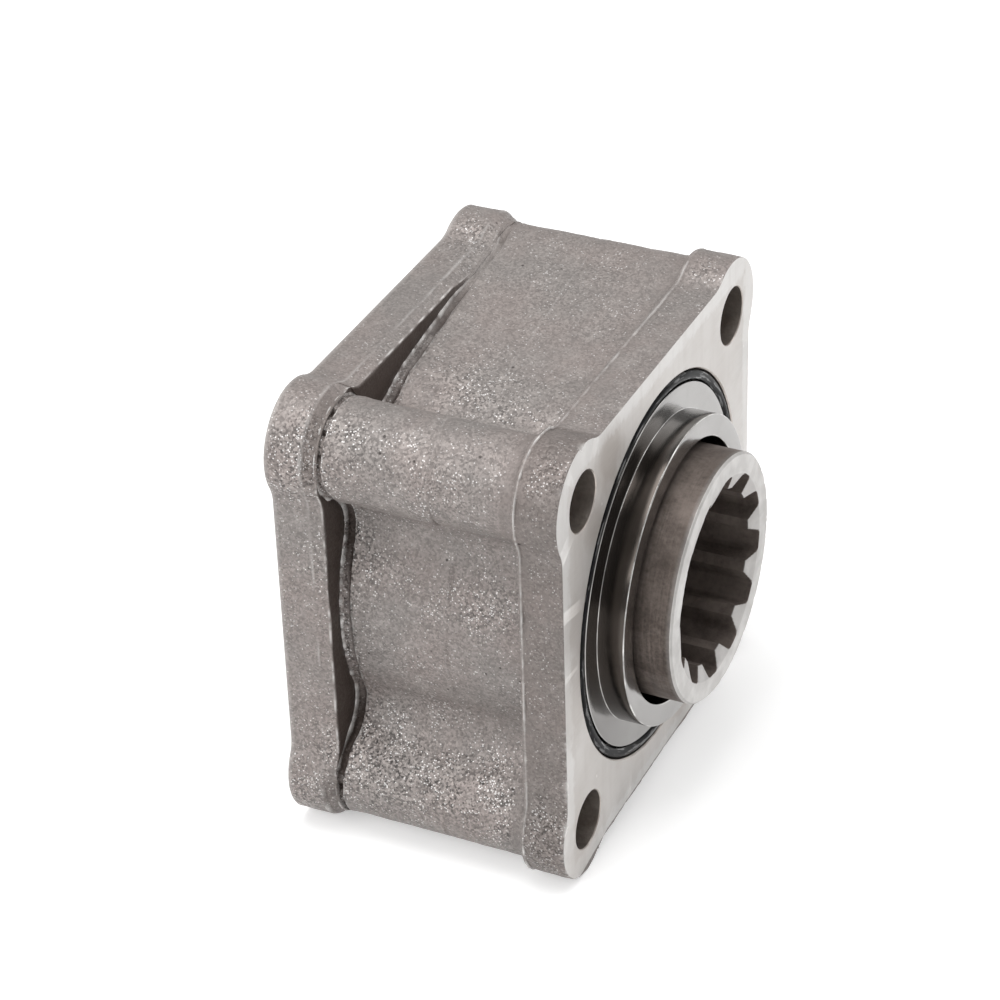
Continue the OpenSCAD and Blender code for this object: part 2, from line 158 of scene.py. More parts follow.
def makeStudio(s):
    scene = bpy.context.scene
    scene.view_settings.view_transform = "Standard"
    h = s["floorHalf"]
    low = cadBox[0].z
    mesh = bpy.data.meshes.new("floor")
    mesh.from_pydata([(-h, -h, low), (h, -h, low), (h, h, low), (-h, h, low)], [], [(0, 1, 2, 3)])
    floor = bpy.data.objects.new("floor", mesh)
    scene.collection.objects.link(floor)
    material, tree, output = newMaterial("paleFloor")
    path = addNode(tree, "LightPath")
    camera, glossy = path.outputs["Is Camera Ray"], path.outputs["Is Glossy Ray"]
    seen = mathOf(tree, "MAXIMUM", camera, glossy)
    diffuse = addNode(tree, "BsdfDiffuse", {"Color": s["floorColor"]})
    away = addNode(tree, "VectorMath", {0: objectPoint(tree)}, operation="LENGTH").outputs["Value"]
    far = times(tree, remap(tree, away, s["farStart"], s["farEnd"]), camera)
    strength = mathOf(tree, "MULTIPLY_ADD", far, s["farGlow"], s["floorGlow"])
    glow = addNode(tree, "Emission", {"Color": (1, 1, 1, 1), "Strength": strength})
    both = addNode(tree, "AddShader", {0: diffuse.outputs[0], 1: glow.outputs[0]})
    mix = addNode(tree, "MixShader", {0: seen, 1: diffuse.outputs[0], 2: both.outputs[0]})
    tree.links.new(mix.outputs[0], output.inputs[0])
    mesh.materials.append(material)

    world = bpy.data.worlds.new("studio")
    world.use_nodes = True
    tree = world.node_tree
    tree.nodes.clear()
    output = addNode(tree, "OutputWorld")
    path = addNode(tree, "LightPath")
    soft = addNode(tree, "Background", {"Color": (1, 1, 1, 1), "Strength": s["worldStrength"]})
    white = addNode(tree, "Background", {"Color": (1, 1, 1, 1), "Strength": 1.0})
    camera = path.outputs["Is Camera Ray"]
    mix = addNode(tree, "MixShader", {0: camera, 1: soft.outputs[0], 2: white.outputs[0]})
    tree.links.new(mix.outputs[0], output.inputs[0])
    scene.world = world

    for name, (place, aim, width, height, power) in s["lamps"].items():
        data = bpy.data.lights.new(name, "AREA")
        data.shape = "RECTANGLE"
        data.size, data.size_y, data.energy = width, height, power
        lamp = bpy.data.objects.new(name, data)
        scene.collection.objects.link(lamp)
        lamp.location = place
        lamp.rotation_mode = "QUATERNION"
        lamp.rotation_quaternion = (Vector(aim) - Vector(place)).to_track_quat("-Z", "Y")


makeCamera(view)
makeStudio(studio)
print("camera, floor and lamps placed")


def paintedValue(tree, name):  # a value written on the points of the pieces made below, 0 elsewhere
    return addNode(tree, "Attribute", attribute_name=name).outputs["Fac"]


def scaled(tree, vector, factors):
    return addNode(tree, "Mapping", {"Vector": vector, "Scale": factors}).outputs[0]


def noiseAt(tree, vector, perMetre, detail=2.0, roughness=0.5, distortion=0.0):
    made = addNode(tree, "TexNoise", {
        "Vector": vector, "Scale": perMetre, "Detail": detail,
        "Roughness": roughness, "Distortion": distortion,
    })
    return made.outputs[0]


def cellsAt(tree, vector, size):
    cells = addNode(tree, "TexVoronoi", {"Vector": vector, "Scale": 1 / size, "Randomness": 1.0}).outputs
    return cells, addNode(tree, "SeparateColor", {0: cells["Color"]}).outputs


def mixColors(tree, factor, a, b, blend="MIX"):
    return addNode(tree, "Mix", {0: factor, 6: a, 7: b}, data_type="RGBA", blend_type=blend).outputs[2]


def toned(tree, color, tone):  # the colour times a grey of that tone
    grey = addNode(tree, "CombineColor", {0: tone, 1: tone, 2: tone}).outputs[0]
    return mixColors(tree, 1.0, color, grey, "MULTIPLY")


def shaftRadius(tree, xyz):  # distance from the shaft's axis
    return mathOf(tree, "SQRT", plus(tree, *[times(tree, xyz[i], xyz[i]) for i in (1, 2)]))


def bumped(tree, height, distance, strength=1.0, normal=None):
    inputs = {"Height": height, "Distance": distance, "Strength": strength}
    if normal is not None:
        inputs["Normal"] = normal
    return addNode(tree, "Bump", inputs).outputs[0]


def finishShader(tree, output, inputs):
    shader = addNode(tree, "BsdfPrincipled", inputs)
    tree.links.new(shader.outputs[0], output.inputs[0])
    return shader


# Raw casting: patchy warm grey, angular sand grain, painted glints where the grit is dense, a few dark pits, painted
# shade in recesses and painted highlights on flash lines
castLook = {
    "warm": (0.268, 0.234, 0.220, 1),
    "cool": (0.246, 0.224, 0.212, 1),
    "pale": (0.345, 0.314, 0.298, 1),
    "stainAndShade": (0.070, 0.050, 0.041, 1),
    "glint": (0.95, 0.93, 0.92, 1),
    "bareAndHighlight": (0.86, 0.84, 0.82, 1),
    "pit": (0.045, 0.036, 0.032, 1),
    "metallic": 0.3,
    "grainSize": 0.00042,
    "glintSize": 0.00036,
    "lumpSize": 0.0009,
    "pitSize": 0.0026,
    "grainDepth": 0.00012,
    "facetTilt": 0.55,
    "roughness": (0.42, 0.66),
    "glintPolish": 0.2,  # how much smoother the glints are
}


def castIron(look):
    material, tree, output = newMaterial("castIron")
    at = objectPoint(tree)
    grit, shade, bareAndHighlight = (paintedValue(tree, k) for k in ("grit", "shade", "bareAndHighlight"))
    grain, grainParts = cellsAt(tree, at, look["grainSize"])
    glint, glintParts = cellsAt(tree, at, look["glintSize"])
    lumpParts = cellsAt(tree, at, look["lumpSize"])[1]
    pit, pitParts = cellsAt(tree, at, look["pitSize"])

    color = mixColors(tree, remap(tree, noiseAt(tree, at, 60, 4), 0.38, 0.62), look["warm"], look["cool"])
    color = mixColors(tree, remap(tree, noiseAt(tree, at, 230, 3), 0.5, 0.8, 0, 0.6), color, look["pale"])
    dense = mathOf(tree, "POWER", grit, 1.5)
    contrast = remap(tree, dense, 0, 1, 0.13, 0.70)
    lumpy = mathOf(tree, "MULTIPLY_ADD", lumpParts[1], 0.24, -0.12)
    speck = plus(tree, grainParts[0], lumpy)
    tone = remap(tree, speck, 0, 1, minus(tree, 1.0, contrast), plus(tree, 1.0, contrast))
    color = toned(tree, color, tone)

    # Painted glints: white flecks in the colour stand for sparkles of light off the grit
    clusters = remap(tree, noiseAt(tree, at, 170, 2), 0.38, 0.62, 0.15, 1)
    limit = remap(tree, times(tree, grit, clusters), 0, 1, 0.985, 0.70)
    lit = remap(tree, minus(tree, glintParts[0], limit), 0, 0.05, 0, remap(tree, grit, 0, 0.8, 0.4, 1))
    glints = times(tree, lit, remap(tree, glint["Distance"], 0.25, 0.6, 1, 0))
    color = mixColors(tree, glints, color, look["glint"])
    pits = mathOf(tree, "GREATER_THAN", pitParts[2], 0.88)
    pits = times(tree, pits, remap(tree, pit["Distance"], 0.08, 0.15, 1, 0))
    color = mixColors(tree, times(tree, pits, 0.8), color, look["pit"])
    # painted shade: recesses, creases and the wall's foot take the dark brown colour by the painted shade value
    color = mixColors(tree, shade, color, look["stainAndShade"])
    # bared metal on chips and nicks, and painted highlights on flash lines and ridges that catch the light
    color = mixColors(tree, bareAndHighlight, color, look["bareAndHighlight"])

    tilt = addNode(tree, "VectorMath", {0: grain["Color"], 1: (0.5, 0.5, 0.5)}, operation="SUBTRACT").outputs[0]
    amount = times(tree, remap(tree, dense, 0, 1, 0.12, 1), look["facetTilt"])
    tilt = addNode(tree, "VectorMath", {0: tilt, "Scale": amount}, operation="SCALE").outputs[0]
    surface = addNode(tree, "NewGeometry").outputs["Normal"]
    facet = addNode(tree, "VectorMath", {0: surface, 1: tilt}, operation="ADD").outputs[0]
    facet = addNode(tree, "VectorMath", {0: facet}, operation="NORMALIZE").outputs[0]
    fine = noiseAt(tree, at, 1500, 3, 0.6)
    coarse = noiseAt(tree, at, 420, 2)
    height = plus(tree, fine, times(tree, coarse, 0.9))
    height = minus(tree, height, times(tree, pits, 1.2))
    height = times(tree, height, remap(tree, grit, 0, 1, 0.4, 1.1))
    rough = remap(tree, fine, 0.3, 0.7, *look["roughness"])
    finishShader(tree, output, {
        "Base Color": color,
        "Metallic": look["metallic"],
        "Roughness": minus(tree, rough, times(tree, glints, look["glintPolish"])),
        "Normal": bumped(tree, height, look["grainDepth"], 1.0, facet),
    })
    return material


# Metal turned about the shaft: tool rings follow the distance from the shaft and the place along it.
# Two painted values: the first brightens edges and faces, partly real wear and partly painted highlight; the second
# mixes in a second colour, painted shade and dark reflection on the pilot ring, dirt and painted light on the hub.
plainTurned = {
    "metallic": 0.9,
    "mottle": 0.08,
    "markScale": 900,
    "markDepth": 0.3,
    "stainScale": 60,
    "stainAmount": 0.3,
    "patchy": 0.0,
    "grimeAndShading": (0.05, 0.042, 0.037, 1),
    "grimeRoughness": 0.1,
    "edge": (0.72, 0.71, 0.69, 1),
    "leastWearAndHighlight": 0.3,
}


def turnedMetal(name, changes):
    look = {**plainTurned, **changes}
    material, tree, output = newMaterial(name)
    at = objectPoint(tree)
    wearAndHighlight, grimeAndShading = paintedValue(tree, "wearAndHighlight"), paintedValue(tree, "grimeAndShading")
    xyz = addNode(tree, "SeparateXYZ", {0: at}).outputs
    radius = shaftRadius(tree, xyz)
    along = addNode(tree, "CombineXYZ", {0: xyz[0], 1: radius, 2: times(tree, xyz[2], 0.02)}).outputs[0]
    rings = noiseAt(tree, along, look["ringsPerMetre"], 3, 0.7)
    marks = noiseAt(tree, at, look["markScale"], 3, 0.65)
    stains = noiseAt(tree, at, look["stainScale"], 4, 0.6, 0.4)
    mask = remap(tree, stains, 0.45, 0.70, 0, look["stainAmount"])
    color = mixColors(tree, mask, look["color"], look["stainAndShade"])
    tone = remap(tree, plus(tree, rings, marks), 0.7, 1.3, 1 - look["mottle"], 1 + look["mottle"])
    color = toned(tree, color, tone)
    patches = remap(tree, noiseAt(tree, at, 190, 4, 0.7), 0.40, 0.60, 1 - look["patchy"], 1)
    covered = times(tree, grimeAndShading, patches)
    color = mixColors(tree, covered, color, look["grimeAndShading"])
    # edge brightening, partly wear and partly painted highlight
    polished = remap(tree, noiseAt(tree, at, 210, 3), 0.42, 0.60, look["leastWearAndHighlight"], 1)
    shine = times(tree, wearAndHighlight, polished)
    color = mixColors(tree, shine, color, look["edge"])
    rough = look["roughness"]
    spread = remap(tree, rings, 0.3, 0.7, rough - 0.05, rough + 0.05)
    spread = plus(tree, spread, times(tree, mask, 0.22))
    height = plus(tree, rings, times(tree, marks, look["markDepth"]))
    finishShader(tree, output, {
        "Base Color": color,
        "Metallic": look["metallic"],
        "Roughness": plus(tree, spread, times(tree, grimeAndShading, look["grimeRoughness"])),
        "Normal": bumped(tree, height, look["ringDepth"]),
    })
    return material


# Front and rear faces of the housing: straight cutter strokes, faint scratches, brownish clouds, brown blots (some of
# them painted shade), tiny nicks
faceLook = {
    "color": (0.590, 0.566, 0.545, 1),
    "cloud": (0.47, 0.435, 0.405, 1),
    "brim": (0.73, 0.722, 0.712, 1),
    "smudgeAndShade": (0.36, 0.32, 0.29, 1),
    "nick": (0.92, 0.91, 0.90, 1),
    "brimStart": 0.0465,  # metres from the shaft to the paler band along the edges
    "roughness": 0.42,
    "metallic": 0.7,
    "nickSize": 0.0034,
    "strokeDepth": 0.00001,
    # centre, size and strength of the brown blots, in metres: the third, fourth and sixth are painted shade, where the
    # hub and ring shadow the face and where it reflects the floor's shadow; the rest are stains
    "smudgesAndShade": (((0, -0.0265, 0.0425), 0.0085, 0.6), ((0, -0.0345, 0.031), 0.006, 0.45),
                ((0, -0.046, -0.006), 0.013, 0.4), ((0, -0.043, 0.012), 0.010, 0.35), ((0, 0.012, -0.046), 0.006, 0.35),
                ((0, -0.043, -0.046), 0.013, 0.35), ((-0.065, 0.02, 0.044), 0.009, 0.5)),
}


def groundMetal(name, look):
    material, tree, output = newMaterial(name)
    at = objectPoint(tree)
    strokes = noiseAt(tree, scaled(tree, at, (1, 0.04, 1)), 2600, 3, 0.7)
    scratches = noiseAt(tree, scaled(tree, at, (1, 1, 0.03)), 900, 2, 0.5)
    clouds = noiseAt(tree, at, 48, 4, 0.55)
    tone = mixColors(tree, remap(tree, clouds, 0.45, 0.7, 0, 0.55), look["color"], look["cloud"])
    ragged = noiseAt(tree, scaled(tree, at, (1, 1, 0.7)), 300, 4, 0.65)
    wide = addNode(tree, "SeparateXYZ", {0: addNode(tree, "VectorMath", {0: at}, operation="ABSOLUTE").outputs[0]})
    reach = mathOf(tree, "MAXIMUM", wide.outputs[1], wide.outputs[2])
    reach = mathOf(tree, "MULTIPLY_ADD", ragged, 0.006, minus(tree, reach, 0.003))
    brim = remap(tree, reach, look["brimStart"], look["brimStart"] + 0.0012, 0, 0.5)
    tone = mixColors(tree, brim, tone, look["brim"])
    smears = noiseAt(tree, scaled(tree, at, (1, 1, 0.14)), 330, 3, 0.55)
    tone = mixColors(tree, remap(tree, smears, 0.50, 0.68, 0, 0.25), tone, look["cloud"])
    # brown blots: stains, and painted shade on the face's near left and its lowest lobe
    for centre, size, strength in look["smudgesAndShade"]:
        away = addNode(tree, "VectorMath", {0: at, 1: centre}, operation="DISTANCE").outputs["Value"]
        away = mathOf(tree, "MULTIPLY_ADD", ragged, size * 0.9, minus(tree, away, size * 0.45))
        tone = mixColors(tree, remap(tree, away, size * 0.45, size, strength, 0), tone, look["smudgeAndShade"])
    nick, nickParts = cellsAt(tree, scaled(tree, at, (1, 1, 0.55)), look["nickSize"])
    nicks = mathOf(tree, "GREATER_THAN", nickParts[0], 0.965)
    nicks = times(tree, nicks, remap(tree, nick["Distance"], 0.03, 0.08, 1, 0))
    tone = mixColors(tree, times(tree, nicks, 0.6), tone, look["nick"])
    height = plus(tree, strokes, times(tree, scratches, 0.5))
    height = minus(tree, height, times(tree, nicks, 1.5))
    rough = look["roughness"]
    finishShader(tree, output, {
        "Base Color": tone,
        "Metallic": look["metallic"],
        "Roughness": remap(tree, strokes, 0.3, 0.7, rough - 0.05, rough + 0.08),
        "Normal": bumped(tree, height, look["strokeDepth"], 0.25),
    })
    return material


# Ring in the face: dull black with thin wet streaks that run around it
def blackRubber():
    material, tree, output = newMaterial("blackRubber")
    at = objectPoint(tree)
    xyz = addNode(tree, "SeparateXYZ", {0: at}).outputs
    turn = times(tree, mathOf(tree, "ARCTAN2", xyz[2], xyz[1]), 0.005)
    radius = shaftRadius(tree, xyz)
    around = addNode(tree, "CombineXYZ", {0: radius, 1: turn, 2: xyz[0]}).outputs[0]
    wet = remap(tree, noiseAt(tree, around, 1100, 3, 0.6), 0.54, 0.62)
    film = noiseAt(tree, at, 420, 3)
    finishShader(tree, output, {
        "Base Color": mixColors(tree, remap(tree, film, 0.4, 0.7), (0.003, 0.003, 0.003, 1), (0.006, 0.006, 0.008, 1)),
        "Roughness": remap(tree, wet, 0, 1, 0.32, 0.05),
        "IOR": 1.45,
        "Specular IOR Level": remap(tree, wet, 0, 1, 0.07, 1.0),
        "Normal": bumped(tree, film, 0.00002),
    })
    return material


# One look for each material slot of the record, then two for the machined parts of the housing
metalLooks = {
    # the pilot ring's steel: the dark mixed-in colour is painted shade and dark reflection
    "turned_steel": dict(
        color=(0.335, 0.326, 0.318, 1), stainAndShade=(0.24, 0.225, 0.215, 1), grimeAndShading=(0.078, 0.068, 0.061, 1),
        metallic=1.0, roughness=0.17, grimeRoughness=0.0, mottle=0.03, leastWearAndHighlight=0.0,
        ringsPerMetre=9000, ringDepth=0.0000006, markDepth=0.0),
    # the hub's steel: the paler mixed-in colour is dirt on the side and painted light in the spline's hollows
    "hub_steel": dict(
        color=(0.124, 0.101, 0.089, 1), stainAndShade=(0.040, 0.029, 0.024, 1), grimeAndShading=(0.215, 0.180, 0.160, 1),
        edge=(0.665, 0.652, 0.637, 1), leastWearAndHighlight=0.84, stainScale=110, stainAmount=0.85, mottle=0.48, patchy=0.6,
        metallic=0.75, roughness=0.52, ringsPerMetre=3000, ringDepth=0.00003, markScale=1200, markDepth=1.0),
    "seal_steel": dict(
        color=(0.20, 0.195, 0.19, 1), stainAndShade=(0.10, 0.09, 0.08, 1), roughness=0.45,
        ringsPerMetre=4000, ringDepth=0.000006),
    "bearing_steel": dict(
        color=(0.60, 0.60, 0.60, 1), stainAndShade=(0.42, 0.40, 0.38, 1), roughness=0.2,
        ringsPerMetre=12000, ringDepth=0.000002),
    "ball_steel": dict(
        color=(0.75, 0.75, 0.75, 1), stainAndShade=(0.6, 0.6, 0.6, 1), stainAmount=0.1, metallic=1.0, roughness=0.09,
        mottle=0.02, ringsPerMetre=900, ringDepth=0.0000003, markDepth=0.0),
    "cage_steel": dict(
        color=(0.50, 0.49, 0.46, 1), stainAndShade=(0.32, 0.29, 0.26, 1), stainScale=200, roughness=0.36,
        ringsPerMetre=1500, ringDepth=0.000005),
    "spring_steel": dict(
        color=(0.075, 0.072, 0.07, 1), stainAndShade=(0.14, 0.12, 0.10, 1), roughness=0.38,
        ringsPerMetre=3000, ringDepth=0.000006),
}
finishes = {slot: turnedMetal(slot.replace("_", ""), look) for slot, look in metalLooks.items()}
finishes["cast_iron"] = castIron(castLook)
finishes["rubber"] = blackRubber()
groundFace = groundMetal("groundFace", faceLook)
boredIron = turnedMetal("boredIron", dict(
    color=(0.50, 0.455, 0.42, 1), stainAndShade=(0.17, 0.13, 0.105, 1), stainScale=130, stainAmount=0.8, roughness=0.36,
    ringsPerMetre=2600, ringDepth=0.00002))

for part in frame["record"]["subparts"]:
    piece = nodes[part["node"]]
    piece.data.materials.clear()
    piece.data.materials.append(finishes[part["material_slot"]])
print("materials assigned to", len(nodes), "nodes")


def paint(data, name, values):
    field = data.attributes.new(name, "FLOAT", "POINT")
    filledIn = np.zeros(len(data.vertices), np.float32)
    filledIn[:len(values)] = values
    field.data.foreach_set("value", filledIn)


def addPiece(name, data, body, slot, *replaced):
    piece = bpy.data.objects.new(name, data)
    bpy.context.scene.collection.objects.link(piece)
    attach(piece, body)
    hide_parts(*replaced)
    return piece


def fullTurn(count):
    return np.linspace(0, 2 * math.pi, count, endpoint=False)


# Points around the shaft, or around another centre (y, z), with one radius or one for each angle
def addRing(mesh, x, radius, angles, centre=(0, 0)):
    y, z = centre
    radii = radius * np.ones(len(angles))
    return [mesh.verts.new((x * mm, (y + r * math.cos(a)) * mm, (z + r * math.sin(a)) * mm))
            for a, r in zip(angles, radii)]


# Quads between each row of points and the next
def bridge(mesh, rows, closed=True, material=0):
    for a, b in zip(rows, rows[1:]):
        for j in range(len(a) if closed else len(a) - 1):
            k = (j + 1) % len(a)
            face = mesh.faces.new((a[j], a[k], b[k], b[j]))
            face.material_index, face.smooth = material, True


def meshFrom(mesh, name):
    data = bpy.data.meshes.new(name)
    mesh.to_mesh(data)
    mesh.free()
    return data


# Faces turned outwards, and edges sharper than the angle in degrees shaded sharp
def closedMesh(mesh, name, sharpAngle):
    bmesh.ops.recalc_face_normals(mesh, faces=mesh.faces)
    data = meshFrom(mesh, name)
    data.set_sharp_from_angle(angle=math.radians(sharpAngle))
    return data


# Smooth noise from -1 to 1 at each point, with features of about the given size
def smoothNoise(points, size, seed):
    shift = Vector((seed * 7.31, seed * 3.17, seed * 5.73))
    return np.array([noise.noise(Vector(p) / size + shift) for p in points])


# Cast housing: body and flanges share columns of points, rows run from the rear face to the front face
housing = {
    "length": 65.0,
    "halfWidth": 50.5,
    "reach": 52.975,
    "corner": 40.0,
    "lobeRadius": 13.0,
    "lobeBlend": 8.0,
    "barrelRadius": 44.25,
    "bossRadius": 11.0,
    "valleyRadius": 9.0,
    "rearWall": -53.35,
    "frontWall": -10.2,
    "rimLine": 3.3,  # from the rear wall back to the line on the rim
    "fillet": 2.6,
    "landDark": 0.34,  # shade of the near side of the front flange
    "rawDark": 0.26,  # shade of the edge where the face was cut short
    "seamPlace": -29.4,
    "seamLean": -2.6,  # how much farther back the seam runs on top
    "columns": 640,
    "lumps": ((11.0, 0.16), (4.2, 0.11), (1.7, 0.07)),  # size and height of the cast surface's waves
    "chips": 46,
    "bigChip": (-40.0, 53.0),  # y and z of the large chip in the front edge
    "bossEdge": (-44.7, 30.05),
    "clippedLobe": ((-33.6, -50.3), (-45.5, -52.0)),  # chord where the face ends short of the lowest lobe
    "clippedBelow": 0.75,
    # Places of dense grit, where painted glints crowd: x, y, z, size, amount
    "gritPlaces": (
        (-58, -52, 46, 7, 0.55), (-60, -52, 38, 5, 0.45), (-62, -50, -43, 7, 0.8), (-44, -50, 44, 9, 0.28),
        (-26, -50, 44, 9, 0.22), (-49, -45, 16, 6, 0.65), (-22, -45, 11, 7, 0.5), (-50, -46, -30, 6, 0.8),
        (-42, -48, -33, 8, 0.65), (-28, -48, -34, 9, 0.55), (-16, -47, -35, 6, 0.7), (-5, -51, -38, 7, 1.1),
        (-4, -48, 50, 5, 0.6), (-38, -14, 44, 8, 0.45), (-25, -18, 44, 6, 0.4), (-58, 33, 53, 4.5, 0.55),
        (-5, 36, 53, 5, 0.35), (-30, 50, 0, 14, 0.4), (-52, 46, 30, 8, 0.5), (-30, 0, -45, 14, 0.4)),
    # (x, radius) of the bores, from the front face to the rear face
    "boltBore": ((0, 6.7), (-0.2, 6.5), (-20, 6.5), (-45, 6.5), (-64.8, 6.5), (-65, 6.7)),
    "mainBore": (
        (0, 43.05), (-0.25, 42.8), (-2.4, 42.8), (-2.4, 40), (-48.5, 40), (-48.5, 41.5), (-51.15, 41.5),
        (-51.15, 40.6), (-55.2, 40.6), (-55.2, 40), (-64.2, 40), (-65, 40.8)),
}


def arcPoints(centre, radius, start, end, step=0.12):
    count = max(2, int(abs(math.radians(end - start)) * radius / step))
    angles = np.radians(np.linspace(start, end, count, endpoint=False))
    return np.column_stack((centre[0] + radius * np.cos(angles), centre[1] + radius * np.sin(angles)))


def linePoints(start, end, step=0.12):
    count = max(2, int(math.dist(start, end) / step))
    t = np.linspace(0, 1, count, endpoint=False)[:, None]
    return np.array(start) + t * (np.array(end) - np.array(start))


def turned(points, degrees):
    c, s = math.cos(math.radians(degrees)), math.sin(math.radians(degrees))
    return points @ np.array([[c, s], [-s, c]])


# Section of the casting between the flanges: barrel, four bosses, valleys, and the flat crown on the far side
def bodyOutline(h):
    barrel, boss, valley, corner = h["barrelRadius"], h["bossRadius"], h["valleyRadius"], h["corner"]
    reach = corner * math.sqrt(2)
    turn = math.degrees(math.acos(
        ((barrel + valley) ** 2 + reach ** 2 - (boss + valley) ** 2) / (2 * (barrel + valley) * reach)))
    low, high = 45 - turn, 45 + turn
    first = (barrel + valley) * np.array([math.cos(math.radians(low)), math.sin(math.radians(low))])
    second = first[::-1]
    toBoss = math.degrees(math.atan2(corner - first[1], corner - first[0]))
    lean = 45 - math.degrees(math.asin((barrel - boss) / reach))
    parts = []
    for k in range(4):
        opening = lean if k == 1 else 0
        parts.append(turned(arcPoints((0, 0), barrel, opening, low), 90 * k))
        parts.append(turned(arcPoints(first, valley, 180 + low, toBoss), 90 * k))
        if k == 0:
            parts.append(arcPoints((corner, corner), boss, toBoss - 180, 90 + lean))
            out = np.array([-math.sin(math.radians(lean)), math.cos(math.radians(lean))])
            parts.append(linePoints(np.array([corner, corner]) + boss * out, barrel * out))
            continue
        parts.append(turned(arcPoints((corner, corner), boss, toBoss - 180, 270 - toBoss), 90 * k))
        parts.append(turned(arcPoints(second, valley, 270 - toBoss + 180 - 360, high - 180), 90 * k))
        parts.append(turned(arcPoints((0, 0), barrel, high, 90), 90 * k))
    return np.vstack(parts)


# Square flange with a round lobe at each corner
def flangeOutline(h):
    side, lobe, blend, corner = h["halfWidth"], h["lobeRadius"], h["lobeBlend"], h["corner"]
    up = side + blend
    along = corner - math.sqrt((lobe + blend) ** 2 - (up - corner) ** 2)
    tilt = math.degrees(math.atan2(corner - along, up - corner))
    parts = []
    for k in range(4):
        parts.append(turned(linePoints((side, 0), (side, along)), 90 * k))
        parts.append(turned(arcPoints((up, along), blend, 180, 180 - tilt), 90 * k))
        parts.append(turned(arcPoints((corner, corner), lobe, -tilt, 90 + tilt), 90 * k))
        parts.append(turned(arcPoints((along, up), blend, tilt - 90, -90), 90 * k))
        parts.append(turned(linePoints((along, side), (0, side)), 90 * k))
    return np.vstack(parts)


def outwardNormals(points):
    ahead = np.roll(points, -1, 0) - np.roll(points, 1, 0)
    ahead /= np.linalg.norm(ahead, axis=1)[:, None]
    return np.column_stack((ahead[:, 1], -ahead[:, 0]))


# The same number of points on the body and on the flange, paired along rays from the shaft
def matchedColumns(h):
    body, flange = bodyOutline(h), flangeOutline(h)
    angle = np.unwrap(np.arctan2(body[:, 1], body[:, 0]))
    angle = np.maximum.accumulate(angle) + np.arange(len(angle)) * 1e-7
    flangeAngle = np.unwrap(np.arctan2(flange[:, 1], flange[:, 0]))
    radius = np.interp(angle, flangeAngle, np.linalg.norm(flange, axis=1), period=2 * math.pi)
    paired = radius[:, None] * np.column_stack((np.cos(angle), np.sin(angle)))
    step = sum(np.linalg.norm(np.roll(line, -1, 0) - line, axis=1) for line in (body, paired))
    distance = np.concatenate(([0], np.cumsum(step)))
    wanted = np.linspace(0, distance[-1], h["columns"], endpoint=False)

    def sample(points):
        closed = np.vstack((points, points[:1]))
        return np.column_stack([np.interp(wanted, distance, closed[:, i]) for i in (0, 1)])
    return sample(body), sample(paired)
